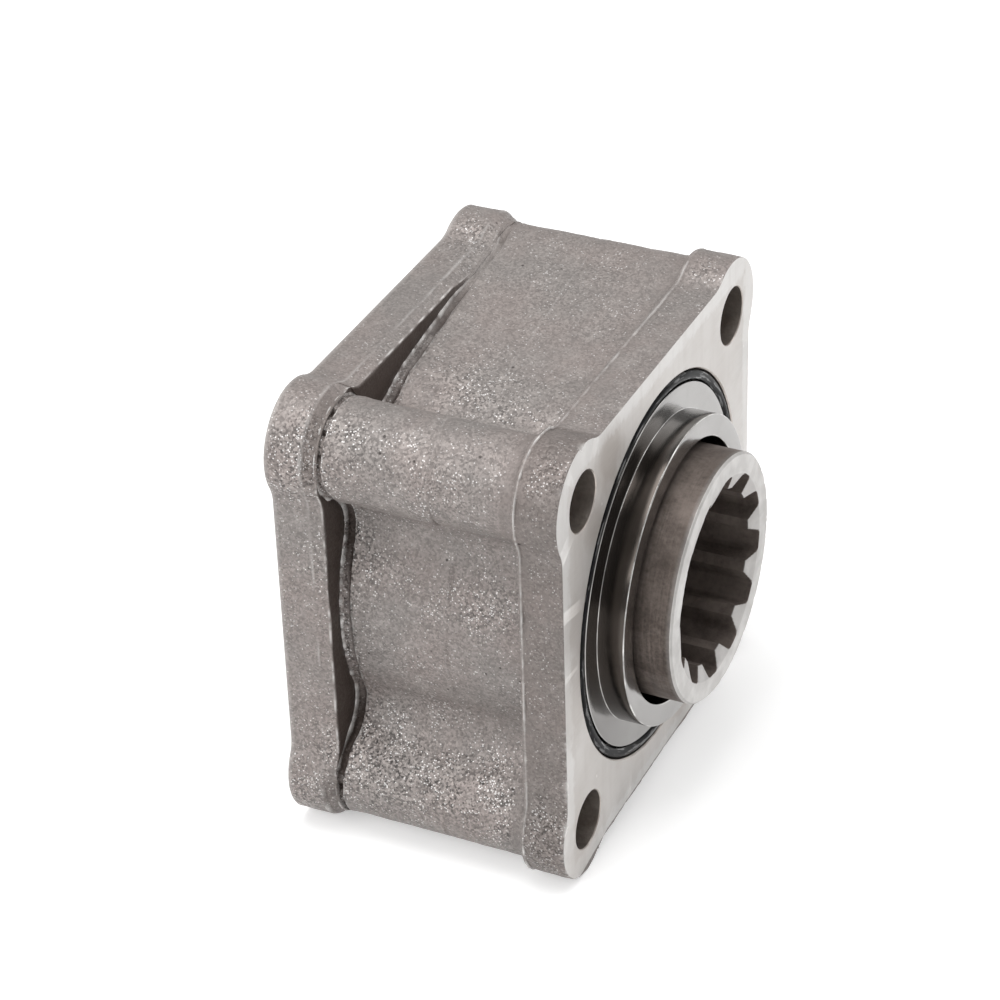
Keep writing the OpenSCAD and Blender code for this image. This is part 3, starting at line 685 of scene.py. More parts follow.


# Rows along the shaft, each with its share of the step up to the flange, its lift off the cast surface,
# how gritty it is, how much painted shade lies there, and how much bared metal or painted highlight it shows
def castProfile(h, body, depth, wave, chips, clipped):
    rear, front = h["rearWall"], h["frontWall"]
    one = np.ones(len(depth))
    rows = []

    def row(x, rise, lift=0.0, grit=1.0, dark=0.0, bareAndHighlight=0.0):
        rows.append((x * one, rise * one, lift * one, grit * one, dark * one, bareAndHighlight * one))

    # Shares of each column: lobe, where the step is low; side, towards the near side; valley, where the step is high
    lobe = np.clip((3.8 - depth) / 1.5, 0, 1)
    side = np.clip(0.45 - body[:, 0] / 35, 0.12, 1)
    valley = np.clip((depth - 5.9) / 2.6, 0, 1)
    near = (body[:, 0] < -25) * 1.0
    soft = lobe * (1 - side)
    calm = 1 - soft
    facing = np.clip((-body[:, 0] - 43) / 6, 0, 1)
    # Rear rim: a line with a painted highlight, a lean that turns into a sloping band on the lobes, shaded on the near
    # lobes, a nicked edge, then the wall in painted shade
    share = np.minimum(0.75, depth * 0.3) / depth * (1 - lobe) + 0.86 * lobe
    corner = np.minimum(0.45, depth * 0.15) / depth * (1 - 0.6 * lobe)
    nicked = np.clip(0.35 + 2.2 * wave["fine"], 0, 1)
    lineFade = np.clip(0.45 + 1.2 * wave["mid"], 0, 1)
    lineAt = rear - h["rimLine"] + 0.35 * wave["long"]
    band = 0.42 * lobe * side
    row(-h["length"], 1, -0.3, 0, 0, 0.5)
    row(-h["length"] + 0.3, 1, 0, 0.6, 0, 0.2)
    for x in np.linspace(-h["length"] + 1.2, rear - 4.8, 9):
        row(x, 1)
    row(lineAt - 0.6, 1, 0.04 * lobe * facing)
    row(lineAt - 0.15, 1, (0.10 + 0.06 * facing) * lineFade, 0.8, 0, (0.12 + 0.4 * lobe * facing) * lineFade)
    row(lineAt + 0.10, 1 - share * 0.12 * lobe, 0.10 * lineFade, 0.8, 0, (0.26 + 0.3 * lobe * facing) * lineFade)
    row(lineAt + 0.45, 1 - share * (0.12 + 0.34 * lobe * facing + 0.10 * lobe), -0.05, 1, band * 0.8 + 0.14 * lineFade)
    row(rear - 2.2, 1 - share * (0.45 + 0.20 * lobe * facing), 0.10 * wave["fine"] * lobe, 1.2, band)
    row(rear - 1.4, 1 - share * (0.75 + 0.10 * lobe * facing), 0.10 * wave["mid"] * lobe, 1.2, band)
    for a in np.radians(np.linspace(0, 90, 6)):
        bend = corner * (1 - math.cos(a))
        row(rear - 0.85 + 0.5 * math.sin(a), 1 - share - bend, 0, 0.6, band + 0.15 * math.sin(a),
            0.65 * nicked * (1 - lobe) * math.sin(2 * a))
    wallDark = np.clip(0.17 * (depth - 0.6), 0.5 * side, 0.92) * (1 - 0.85 * soft)
    for t in (0.1, 0.35, 0.6, 0.85):
        row(rear - 0.35 + (1.5 * soft - 0.55) * t, (1 - share - corner) * (1 - t) + 0.02, 0, 0.4, wallDark)
    # Foot of that wall: a ragged flash line with a painted highlight, then a recess that lies open in some places, with
    # painted shade in it
    crease = (0.28 + 0.72 * valley) * (1 + 0.4 * wave["mid"]) * calm
    sway = 0.28 * wave["long"] + 0.12 * wave["fine"]
    upper, lower = (np.exp(-((body[:, 1] - z) / 10) ** 2) for z in (20, -30))
    flash = np.clip(0.45 + 1.0 * wave["mid"] + 1.5 * wave["fine"] + 0.3 * lobe + 0.5 * lower, 0, 1) * calm
    broken = np.clip(0.55 + 1.4 * wave["fine"], 0, 1)
    bright = 1 - 0.45 * lobe
    cleft = near * np.clip(0.12 + 0.95 * (upper + lower) + 0.7 * lobe * broken, 0, 1)
    cleft = (cleft + (1 - near) * np.clip(0.45 + 0.9 * wave["long"], 0.1, 0.8)) * calm
    rough = 2.4 * side
    foot = (
        # place, share of the sway, lift, grit, painted shade, bared metal and painted highlight
        (-1.0, 0, 0.22, 0.6, 0.85 * wallDark, 0),
        (-0.92, 0.5, 0.22 + 0.36 * flash, rough, 0.2, 0.8 * flash * bright),
        (-0.72, 0.5, 0.08 + 0.44 * flash, rough, 0.1, flash * bright),
        (-0.54, 1, 0.22 * flash - 0.20 * cleft, rough, 0.3 * cleft, 0.8 * flash * bright),
        (-0.35, 1, -0.90 * cleft - 0.05, rough, 0.06 + 0.88 * cleft, 0),
        (0.00, 1, -1.30 * cleft - 0.10 - 0.2 * wave["fine"] * calm, rough, 0.06 + 0.9 * cleft, 0),
        (0.45, 1, -1.40 * cleft - 0.2 * crease, rough, 0.06 + 0.9 * cleft, 0),
        (0.85, 1, -1.1 * cleft - 0.7 * crease, 1.0, np.clip(0.9 * cleft + 0.4 * crease, 0.05, 0.97), 0),
        (1.10, 1.3, -0.5 * cleft - 0.95 * crease, 0.5, np.clip(crease + 0.6 * cleft, 0.05, 0.97), 0),
        (1.35, 1.4, -0.45 * crease, rough, 0.3 * crease, 0.15 * nicked * calm),
        (1.62, 1.4, 0.10, rough, 0, 0.55 * nicked * calm * side),
        (2.2, 1, 0.18 * calm, 0.5 * rough + 0.5, 0, 0),
        (2.9, 0.5, 0.12 * calm, 1, 0, 0),
    )
    # The recess is narrower on the near lobes, and the far lobes run out softly instead
    for place, swayed, lift, grit, dark, bareAndHighlight in foot:
        squeezed = -0.92 + (place + 0.92) * (1 - 0.4 * lobe * side) if place > -0.92 else place
        row(rear + squeezed + swayed * sway + 1.5 * soft * (2.9 - place) / 3.9, 0, lift, grit, dark, bareAndHighlight)
    # Seam of the mould halves, farther back on top, with a painted highlight on its ridge and painted shade beside it
    lean = h["seamLean"] * np.clip((body[:, 1] - 20) / 24, 0, 1) * np.clip((body[:, 0] + 45) / 15, 0, 1)
    seam = h["seamPlace"] + lean - 0.7 * np.exp(-((body[:, 1] + 3) / 12) ** 2) * near + 0.35 * wave["long"]
    for t in np.linspace(0, 1, 22):
        row(rear + 4.0 + t * (seam - 1.2 - rear - 4.0), 0)
    fade = np.clip(0.45 + 1.5 * wave["long"] + 0.5 * wave["mid"], 0, 1.1) * (0.35 + 0.65 * near)
    ridge = (
        # from the seam, lift
        (-0.7, -0.05), (-0.4, 0.02), (-0.22, 0.20), (0.0, 0.30), (0.22, 0.16), (0.42, -0.10), (0.75, -0.1), (1.2, 0),
    )
    for offset, lift in ridge:
        dark, bareAndHighlight = 0.3 * fade * (lift < -0.08), 0.08 * lineFade * (lift > 0.18)
        row(seam + offset, 0, lift * fade, 1.0, dark, bareAndHighlight)
    # Fillet up to the front flange, with painted shade in its corner; the flange's edge carries a ragged line of
    # painted highlight with painted shade beside it
    fillet = np.minimum(h["fillet"], depth * 0.5)
    for t in np.linspace(0, 1, 14):
        row(seam + 2.2 + t * (front - 3.4 - seam - 2.2), 0)
    for a in np.radians(np.linspace(0, 90, 7)):
        row(front - h["fillet"] + h["fillet"] * math.sin(a), fillet / depth * (1 - math.cos(a)), 0, 0.3, 0.12 * side)
    cornerShare = np.minimum(0.6, depth * 0.3) / depth
    for t in (0.35, 0.7):
        row(front + 0.1 * t, fillet / depth * (1 - t) + t * (1 - cornerShare), 0, 0.3, 0.16)
    for a in np.radians(np.linspace(0, 90, 5)):
        row(front + 0.1 + 0.5 * (1 - math.cos(a)), 1 - cornerShare * (1 - math.sin(a)), 0.06 * math.sin(a), 0.4)
    line = np.clip(0.60 + 1.0 * wave["mid"] + 0.9 * wave["fine"], 0.12, 1) * (0.35 + 0.65 * near)
    wobble = 0.15 * wave["mid"] + 0.22 * wave["fine"]
    landDark = h["landDark"] * near
    edge = (
        # place, share of the wobble, lift, painted shade, bared metal and painted highlight
        (0.68, 0.15, 0.14, 0, 0.2), (0.80, 0.5, 0.36, 0, 0.75), (0.96, 0.9, 0.42, 0, 0.9), (1.12, 1.0, 0.12, 0.2, 0.45),
        (1.28, 1.0, -0.18, 0.7, 0), (1.5, 0.8, -0.14, 0.4, 0), (2.0, 0.4, 0, 0, 0),
    )
    for place, share, lift, dark, bareAndHighlight in edge:
        dark = np.maximum(dark * line, landDark * (lift <= 0))
        row(front + place + share * wobble, 1, lift * line, 0.5, dark, bareAndHighlight * line)
    for x in np.linspace(front + 2.8, -1.9, 9):
        row(x, 1, 0, 1.0, landDark)
    # Front edge, chipped in places and cut short on the lowest lobe, where the cut strip carries painted shade
    bared = np.clip(chips * 2.2, 0, 1)
    # painted shade on the cast strip left where the face ends short
    raw = np.clip(clipped, 0, 1) * h["rawDark"]
    row(-1.3, 1, -0.05 * chips, 0.8, landDark)
    edgeDark = np.maximum(landDark, raw)
    row(-0.55, 1, -0.3 * chips, 1.2, edgeDark, 0.15 * bared)
    row(-0.25, 1, -0.02 - 0.7 * chips, 1.2, edgeDark, 0.4 * bared)
    row(-0.11, 1, -0.05 - 0.85 * chips - 0.08 * clipped, 1.0, edgeDark, 0.7 * bared)
    row(-0.06, 1, -0.08 - 0.95 * chips - 0.93 * clipped, 0.6, edgeDark, 0.9 * bared)
    row(0.0, 1, -0.14 - 1.05 * chips - clipped, 0, raw, (0.3 + 0.7 * bared) * (1 - raw))
    return [np.array(part) for part in zip(*rows)]


# How deep the front edge is chipped at each column, most of it along the lower left side
def edgeChips(h, flange):
    rng = np.random.default_rng(4)
    depth = 1.3 * np.exp(-(np.linalg.norm(flange - np.array(h["bigChip"]), axis=1) / 0.8) ** 2)
    leftEdge = np.flatnonzero((flange[:, 0] < -49) & (flange[:, 1] < -10))
    for k in range(h["chips"]):
        at = rng.choice(leftEdge) if k % 3 else rng.integers(len(flange))
        width, height = rng.uniform(0.3, 0.8), rng.uniform(0.1, 0.45) * (1.0 if k % 3 else 0.5)
        depth += height * np.exp(-(np.linalg.norm(flange - flange[at], axis=1) / width) ** 2)
    return np.minimum(depth, 1.5)


# How far the front face ends short of the outline at each column: on the lowest lobe and along the underside
def clippedEdge(h, flange):
    (y1, z1), (y2, z2) = h["clippedLobe"]
    chord = z1 + (flange[:, 0] - y1) * (z2 - z1) / (y2 - y1)
    within = (flange[:, 0] < y1 + 1) & (flange[:, 0] > y2 - 1) & (flange[:, 1] < 0)
    crescent = np.clip(chord - flange[:, 1], 0, 3) * within
    below = np.clip((-44 - flange[:, 1]) / 2, 0, 1) * np.clip((flange[:, 0] + 36) / 6, 0, 1)
    return np.maximum(crescent, h["clippedBelow"] * below)


# Ragged edge along the underside of the near upper boss, with a recess below it in painted shade
def bossEdge(h, body, x, rise):
    step = np.linalg.norm(np.roll(body, -1, 0) - body, axis=1)
    along = np.cumsum(step) - step
    away = along - along[np.argmin(np.linalg.norm(body - np.array(h["bossEdge"]), axis=1))]
    where = np.column_stack((x.ravel(), np.zeros(x.size), np.tile(away, len(x)) * 0.3))
    ragged = smoothNoise(where, 2.2, 5).reshape(x.shape)
    away = away[None] + 0.55 * ragged
    ends = np.clip((x - h["rearWall"] - 1.5) / 1.0, 0, 1) * np.clip((h["frontWall"] - 8 - x) / 20, 0, 1) * (rise < 0.01)
    wide = 0.9 + 1.5 * np.exp(-((x - h["rearWall"]) / 7) ** 2)
    lift = 0.42 * np.exp(-(away / 0.4) ** 2) - 0.65 * np.exp(-((away - 0.5 - wide) / wide) ** 2)
    dark = 0.95 * np.exp(-((away - 0.35 - wide) / wide) ** 2) * (away > 0.2)
    return lift * ends, dark * ends * np.clip(0.85 + ragged, 0, 1)


def gridNormals(grid):
    down = np.gradient(grid, axis=0)
    across = np.roll(grid, -1, 1) - np.roll(grid, 1, 1)
    normal = np.cross(across, down)
    normal /= np.linalg.norm(normal, axis=2)[:, :, None] + 1e-12
    return normal


def makeHousing(h):
    body, flange = matchedColumns(h)
    bodyOut, flangeOut = outwardNormals(body), outwardNormals(flange)
    depth = np.linalg.norm(flange - body, axis=1)
    flat = np.column_stack((np.zeros(len(body)), body))
    wave = {name: smoothNoise(flat, size, 2) for name, size in (("long", 9), ("mid", 4.5), ("fine", 1.6))}
    x, rise, lift, grit, dark, bareAndHighlight = castProfile(
        h, body, depth, wave, edgeChips(h, flange), clippedEdge(h, flange))
    edgeLift, edgeDark = bossEdge(h, body, x, rise)
    lift, dark = lift + edgeLift, np.clip(dark + edgeDark, 0, 1)
    up = rise[:, :, None]
    out = bodyOut[None] * (1 - up) + flangeOut[None] * up
    section = body[None] * (1 - up) + flange[None] * up + out * lift[:, :, None]
    grid = np.concatenate((x[:, :, None], section), axis=2)
    normal = gridNormals(grid)
    rows, columns = x.shape
    points = grid.reshape(-1, 3)
    offset = sum(height * smoothNoise(points, size, seed + 11) for seed, (size, height) in enumerate(h["lumps"]))
    weight = np.ones((rows, columns))
    weight[0] = weight[-1] = 0
    weight[1] = weight[-2] = 0.3
    points = points + normal.reshape(-1, 3) * ((offset - 0.06) * weight.ravel())[:, None]
    points[:, 1:] = np.clip(points[:, 1:], -h["reach"], h["reach"])
    # Grit lies thin all over, thicker on the near side, and dense in patches; it sets the grain's contrast and the
    # painted glints
    thin = 0.24 + 0.14 * np.clip(-normal[:, :, 1].ravel(), 0, 1) + 0.16 * smoothNoise(points, 10, 31)
    ragged = 1 + 0.5 * smoothNoise(points, 4, 37)
    for px, py, pz, size, amount in h["gritPlaces"]:
        away = np.linalg.norm(points - np.array((px, py, pz)), axis=1) * ragged
        thin += amount * np.exp(-(away / size) ** 2)
    grit = grit.ravel() * np.clip(thin, 0, 1)

    mesh = bmesh.new()
    skin = [mesh.verts.new(p * mm) for p in points]
    skin = [skin[i * columns:(i + 1) * columns] for i in range(rows)]
    bridge(mesh, skin)
    loops = {"rear": [skin[0]], "front": [skin[-1]]}
    faceSlot, boreSlot = 1, 2

    def addBore(profile, centre, count):
        rings = [addRing(mesh, x, r, fullTurn(count), centre) for x, r in profile]
        bridge(mesh, rings, material=boreSlot)
        loops["front"].append(rings[0])
        loops["rear"].append(rings[-1])

    corner = h["corner"]
    for y in (-corner, corner):
        for z in (-corner, corner):
            addBore(h["boltBore"], (y, z), 72)
    addBore(h["mainBore"], (0, 0), 288)
    for end, sign in (("front", 1), ("rear", -1)):
        edges = []
        for loop in loops[end]:
            for a, b in zip(loop, loop[1:] + loop[:1]):
                edges.append(mesh.edges.get((a, b)) or mesh.edges.new((a, b)))
        filled = bmesh.ops.triangle_fill(mesh, edges=edges, use_beauty=True, normal=(sign, 0, 0))
        for face in filled["geom"]:
            if isinstance(face, bmesh.types.BMFace):
                face.material_index, face.smooth = faceSlot, False
    data = closedMesh(mesh, "castHousing", 38)
    for name, values in (("grit", grit), ("shade", dark.ravel()), ("bareAndHighlight", bareAndHighlight.ravel())):
        paint(data, name, values)
    for material in (finishes["cast_iron"], groundFace, boredIron):
        data.materials.append(material)
    addPiece("castHousing", data, "housing", "cast_iron", "housing")
    print("housing made with", len(data.polygons), "faces")


makeHousing(housing)


# Corner points (x, radius, rounding, edge brightening, painted shade of the side that follows) made into one closed
# outline
def roundedOutline(corners, steps=5, longest=1.2):
    found = []
    count = len(corners)
    ends = []
    for i in range(count):
        before, here, after = (np.array(corners[k % count][:2], float) for k in (i - 1, i, i + 1))
        r = corners[i][2]
        a, b = (before - here) / np.linalg.norm(before - here), (after - here) / np.linalg.norm(after - here)
        half = math.acos(np.clip(a @ b, -1, 1)) / 2
        reach = r / math.tan(half)
        centre = here + (a + b) / np.linalg.norm(a + b) * r / math.sin(half)
        ends.append((here + a * reach, here + b * reach, centre, r))
    for i in range(count):
        start, end, centre, r = ends[i]
        wearAndHighlight, grimeAndShading = corners[i][3:5]
        a, b = start - centre, end - centre
        turn = math.atan2(a[0] * b[1] - a[1] * b[0], a @ b)
        found.append((*start, 0.0, corners[i - 1][4]))
        for t in np.linspace(0, turn, steps)[1:-1]:
            c, s = math.cos(t), math.sin(t)
            found.append((centre[0] + c * a[0] - s * a[1], centre[1] + s * a[0] + c * a[1], wearAndHighlight, 0.0))
        found.append((*end, 0.0, grimeAndShading))
        target = ends[(i + 1) % count][0]
        pieces = max(1, int(np.linalg.norm(target - end) / longest))
        for t in np.arange(1, pieces) / pieces:
            found.append((*(end + (target - end) * t), 0.0, grimeAndShading))
    return found


# Closed ring turned about the shaft from rows of (x, radius, edge brightening, painted shade)
def turnedRing(name, rows, shadedSide=None, columns=360):
    angles = fullTurn(columns)
    mesh = bmesh.new()
    rings = [addRing(mesh, row[0], row[1], angles) for row in rows]
    bridge(mesh, rings + rings[:1])
    data = closedMesh(mesh, name, 40)
    paint(data, "wearAndHighlight", np.repeat([row[2] for row in rows], columns))
    grimeAndShading = np.array([row[3] for row in rows])[:, None] * np.ones(columns)
    # painted shade stays on the given side and fades out away from it
    if shadedSide is not None:
        grimeAndShading *= np.clip(1.9 * np.cos(angles - math.radians(shadedSide)) - 0.15, 0, 1)
    paint(data, "grimeAndShading", grimeAndShading.ravel())
    return data


pilotRing = {
    # side where the ring keeps its painted shade and dark reflection
    "shadedSide": 160.0,  # degrees about the shaft, from the far side
    # x, radius, rounding, edge brightening (wear and painted highlight), painted shade on the side that follows
    "corners": (
        (-11.5, 36.02, 0.2, 0.3, 0.3),
        (-11.5, 39.98, 0.3, 0.3, 0.3),
        (-0.1, 39.98, 0.22, 0.3, 0.5),
        (-0.1, 34.15, 0.18, 0.5, 1.0),
        (5.9, 34.15, 0.25, 1.0, 0.0),
        (5.9, 29.25, 0.35, 0.5, 0.6),
        (-2.5, 29.25, 0.2, 0.2, 0.6),
        (-2.5, 36.02, 0.1, 0.0, 0.6),
    ),
}


def makePilotRing(p):
    data = turnedRing("turnedRing", roundedOutline(p["corners"]), p["shadedSide"])
    data.materials.append(finishes["turned_steel"])
    addPiece("turnedRing", data, "housing", "turned_steel", "pilot_ring")
    print("pilot ring made with", len(data.polygons), "faces")


makePilotRing(pilotRing)


# Geometry Nodes: copies of one piece about the shaft, welded where they meet
def copiesTree():
    tree = bpy.data.node_groups.new("copiesAboutShaft", "GeometryNodeTree")
    for label, kind in (("Piece", "Geometry"), ("Copies", "Int"), ("First turn", "Float"), ("Weld", "Float"),
                        ("Finish", "Material")):
        tree.interface.new_socket(label, in_out="INPUT", socket_type="NodeSocket" + kind)
    tree.interface.new_socket("Result", in_out="OUTPUT", socket_type="NodeSocketGeometry")

    def add(kind, inputs=None, **settings):
        return addTo(tree, kind, inputs, **settings)

    given = add("NodeGroupInput").outputs
    points = add("GeometryNodePoints", {"Count": given["Copies"]}).outputs[0]
    step = add("ShaderNodeMath", {0: 2 * math.pi, 1: given["Copies"]}, operation="DIVIDE").outputs[0]
    index = add("GeometryNodeInputIndex").outputs[0]
    angle = add("ShaderNodeMath", {0: index, 1: step, 2: given["First turn"]}, operation="MULTIPLY_ADD").outputs[0]
    euler = add("ShaderNodeCombineXYZ", {"X": angle}).outputs[0]
    rotation = add("FunctionNodeEulerToRotation", {0: euler}).outputs[0]
    placed = add("GeometryNodeInstanceOnPoints", {
        "Points": points, "Instance": given["Piece"], "Rotation": rotation}).outputs[0]
    real = add("GeometryNodeRealizeInstances", {"Geometry": placed}).outputs[0]
    welded = add("GeometryNodeMergeByDistance", {"Geometry": real, "Distance": given["Weld"]}).outputs[0]
    dressed = add("GeometryNodeSetMaterial", {"Geometry": welded, "Material": given["Finish"]}).outputs[0]
    add("NodeGroupOutput", {"Result": dressed})
    return tree


aboutShaft = copiesTree()


def copiedAboutShaft(data, copies, firstTurn, weld, finish):
    carrier = bpy.data.objects.new(data.name, data)
    bpy.context.scene.collection.objects.link(carrier)
    modifier = carrier.modifiers.new("copies", "NODES")
    modifier.node_group = aboutShaft
    values = {"Copies": copies, "First turn": firstTurn, "Weld": weld, "Finish": finish}
    for socket in aboutShaft.interface.items_tree:
        if socket.in_out == "INPUT" and socket.name in values:
            modifier[socket.identifier] = values[socket.name]
    bpy.context.view_layer.update()
    made = bpy.data.meshes.new_from_object(carrier.evaluated_get(bpy.context.evaluated_depsgraph_get()))
    carrier.modifiers.remove(modifier)
    bpy.data.objects.remove(carrier)
    return made


# Hub: one twelfth of its front and one eighth of its rear, copied about the shaft and joined behind the spline
hub = {
    "spaces": 12,
    "spaceTurn": 20.0,  # degrees from the far side
    "major": 22.9,
    "minor": 19.4,
    "spaceWidth": 6.0,
    "spaceBevel": 0.8,
    "flankAngle": 20.0,
    "rearSpaces": 8,
    "rearMajor": 18.0,
    "rearMinor": 16.0,
    "rearWidth": 6.0,
    "rearTurn": 0.0,
    "columns": 576,
    "radius": 27.5,
    "journal": 24.98,
    "front": 13.8,
    "rear": -54.0,
    "bevel": 0.5,
    "shoulder": -11.5,
    "join": -13.2,
    "teethEnd": -10.2,
    "leadIn": 1.4,
    "edgeRound": 0.22,
    "clip": (-50.65, -48.5, 23.48),
    "dings": 0.16,
    "burr": 0.09,
    # pale colour on the hub's side, partly dirt and partly painted light
    "dustAndLight": 0.6,
    "shadeMiddle": 187.0,  # degrees about the shaft, from the far side, where painted shade leaves the side darkest
    "shadeSpread": 55.0,
}


def smoothMin(a, b, k):
    h = np.clip(0.5 + 0.5 * (b - a) / k, 0, 1)
    return b * (1 - h) + a * h - k * h * (1 - h)


def smoothMax(a, b, k):
    return -smoothMin(-np.asarray(a, float), -np.asarray(b, float), k)


def frontSpaceRadius(angle, h):
    middle, t = (h["major"] + h["minor"]) / 2, math.tan(math.radians(h["flankAngle"]))
    side, along = np.sin(abs(angle)), np.cos(angle)
    flank = (h["spaceWidth"] / 2 + middle * t) / (side + t * along)
    start = h["major"] - h["spaceBevel"]
    bevelled = (h["spaceWidth"] / 2 - (start - middle) * t + start) / (side + along)
    deep = smoothMin(smoothMin(flank, bevelled, 0.1), h["major"], 0.1)
    return smoothMax(deep, h["minor"], 0.1)


def rearSpaceRadius(angle, h):
    side = h["rearWidth"] / 2 / np.maximum(np.sin(abs(angle)), 0.01)
    return smoothMax(smoothMin(np.minimum(side, 60), h["rearMajor"], 0.2), h["rearMinor"], 0.25)


# Angles that step evenly along the outline of one space
def stepsAlong(radiusAt, half, count, h):
    angle = np.linspace(-half, half, 4001)
    line = radiusAt(angle, h)[:, None] * np.column_stack((np.cos(angle), np.sin(angle)))
    length = np.concatenate(([0], np.cumsum(np.linalg.norm(np.diff(line, axis=0), axis=1))))
    return np.interp(np.linspace(0, length[-1], count + 1), length, angle)


# Sheet of quads from rows of (x, angles, radii, edge brightening, amount of the mixed-in colour)
def sectorSheet(name, rows):
    mesh = bmesh.new()
    bridge(mesh, [addRing(mesh, row[0], row[2], row[1]) for row in rows], closed=False)
    data = meshFrom(mesh, name)
    for value, i in (("wearAndHighlight", 3), ("grimeAndShading", 4)):
        paint(data, value, np.concatenate([row[i] * np.ones(len(row[1])) for row in rows]))
    return data


def frontSector(h):
    half = math.pi / h["spaces"]
    count = h["columns"] // h["spaces"]
    even = np.linspace(-half, half, count + 1)
    bent = stepsAlong(frontSpaceRadius, half, count, h)
    space = frontSpaceRadius(bent, h)
    front, r, bevel = h["front"], h["radius"], h["bevel"]
    start = front - h["leadIn"]
    runout = h["major"] + 0.02
    # pale colour in the spline's hollows is painted light, for the light bouncing inside them
    rows = [(x, even, runout, 0, 0.9) for x in (h["join"], h["join"] + 1.5, h["teethEnd"])]
    rows.append((h["teethEnd"], bent, space + 0.15, 0, 0.9))
    for x in (h["teethEnd"] + 0.15, h["teethEnd"] + 0.6, -6, -2, 2, 6, 9, start - 1, start - 0.3):
        rows.append((x, bent, space, 0, 0.92))
    for t in np.linspace(0, 0.93, 9):
        cone = h["minor"] + (h["major"] - h["minor"]) * t
        bare = space < cone + 0.05
        rows.append((start + h["leadIn"] * t, bent, smoothMax(space, cone, 0.06), 0.75 * bare, 0.92 * (1 - bare)))
    mouth = h["major"] + h["edgeRound"] * 0.4
    rows.append((front - h["edgeRound"] * 0.35, even, mouth, 0.95, 0))
    rows.append((front, even, mouth + h["edgeRound"], 0.9, 0))
    for radius in np.linspace(mouth + 0.7, r - bevel - 0.2, 5):
        rows.append((front, even, radius, 0.92, 0))
    for t, wearAndHighlight in ((-0.14, 0.92), (0.0, 1.0), (0.14, 0.75), (0.5, 0.7), (0.86, 0.75), (1.0, 0.95), (1.14, 0.25)):
        rows.append((front - bevel * np.clip(t, 0, 9), even, r - bevel * (1 - np.clip(t, -9, 1)), wearAndHighlight, 0))
    for x in (front - 1.6, front - 2.6, 9.5, 8, 6.6, 5.2, 3, 0, -4, -8, h["shoulder"] + 0.3):
        rows.append((x, even, r, 0, h["dustAndLight"]))
    rows.append((h["shoulder"], even, r - 0.3, 0.4, 0.3))
    rows.append((h["shoulder"], even, h["journal"] + 0.02, 0, 0.3))
    rows.append((h["join"], even, h["journal"], 0, 0.1))
    return sectorSheet("hubFront", rows)


def rearSector(h):
    half = math.pi / h["rearSpaces"]
    count = h["columns"] // h["rearSpaces"]
    even = np.linspace(-half, half, count + 1)
    bent = stepsAlong(rearSpaceRadius, half, count, h)
    space = rearSpaceRadius(bent, h)
    rear, journal, bevel = h["rear"], h["journal"], h["bevel"]
    clipRear, clipFront, clipFloor = h["clip"]
    rows = [(x, even, journal, 0, 0.1) for x in (h["join"], -20, -30, -40, clipFront + 0.15)]
    rows += [(clipFront, even, journal - 0.15, 0.5, 0.2), (clipFront, even, clipFloor, 0, 0.6),
             (clipRear, even, clipFloor, 0, 0.6), (clipRear, even, journal - 0.15, 0.5, 0.2)]
    rows += [(clipRear - 0.15, even, journal, 0.5, 0), (rear + bevel + 0.6, even, journal, 0, 0)]
    for a in np.radians(np.linspace(90, 0, 7)):
        x, radius = rear + bevel * (1 - math.cos(a)), journal - bevel * (1 - math.sin(a))
        rows.append((x, even, radius, 0.7 * math.sin(2 * a), 0))
    lead = h["rearMajor"] - h["rearMinor"]
    for radius in np.linspace(journal - bevel - 0.3, h["rearMajor"] + 0.35, 5):
        rows.append((rear, even, radius, 0, 0))
    rows.append((rear + 0.1, bent, h["rearMajor"] + 0.12, 0.8, 0))
    for t in np.linspace(0.06, 1, 9):
        cone = h["rearMajor"] - lead * t
        wearAndHighlight, grimeAndShading = 0.25 * (space < cone), 0.3 + 0.4 * (space > cone)
        rows.append((rear + lead * t, bent, smoothMax(space, cone, 0.12), wearAndHighlight, grimeAndShading))
    # pale colour in the rear spline's hollows is painted light
    for x in (rear + 2.6, -45, -35, -25, h["join"] - 0.3):
        rows.append((x, bent, space, 0, 0.75))
    rows.append((h["join"], bent, space + 0.15, 0, 0.8))
    rows.append((h["join"], even, h["major"] + 0.02, 0, 0.9))
    return sectorSheet("hubRear", rows)


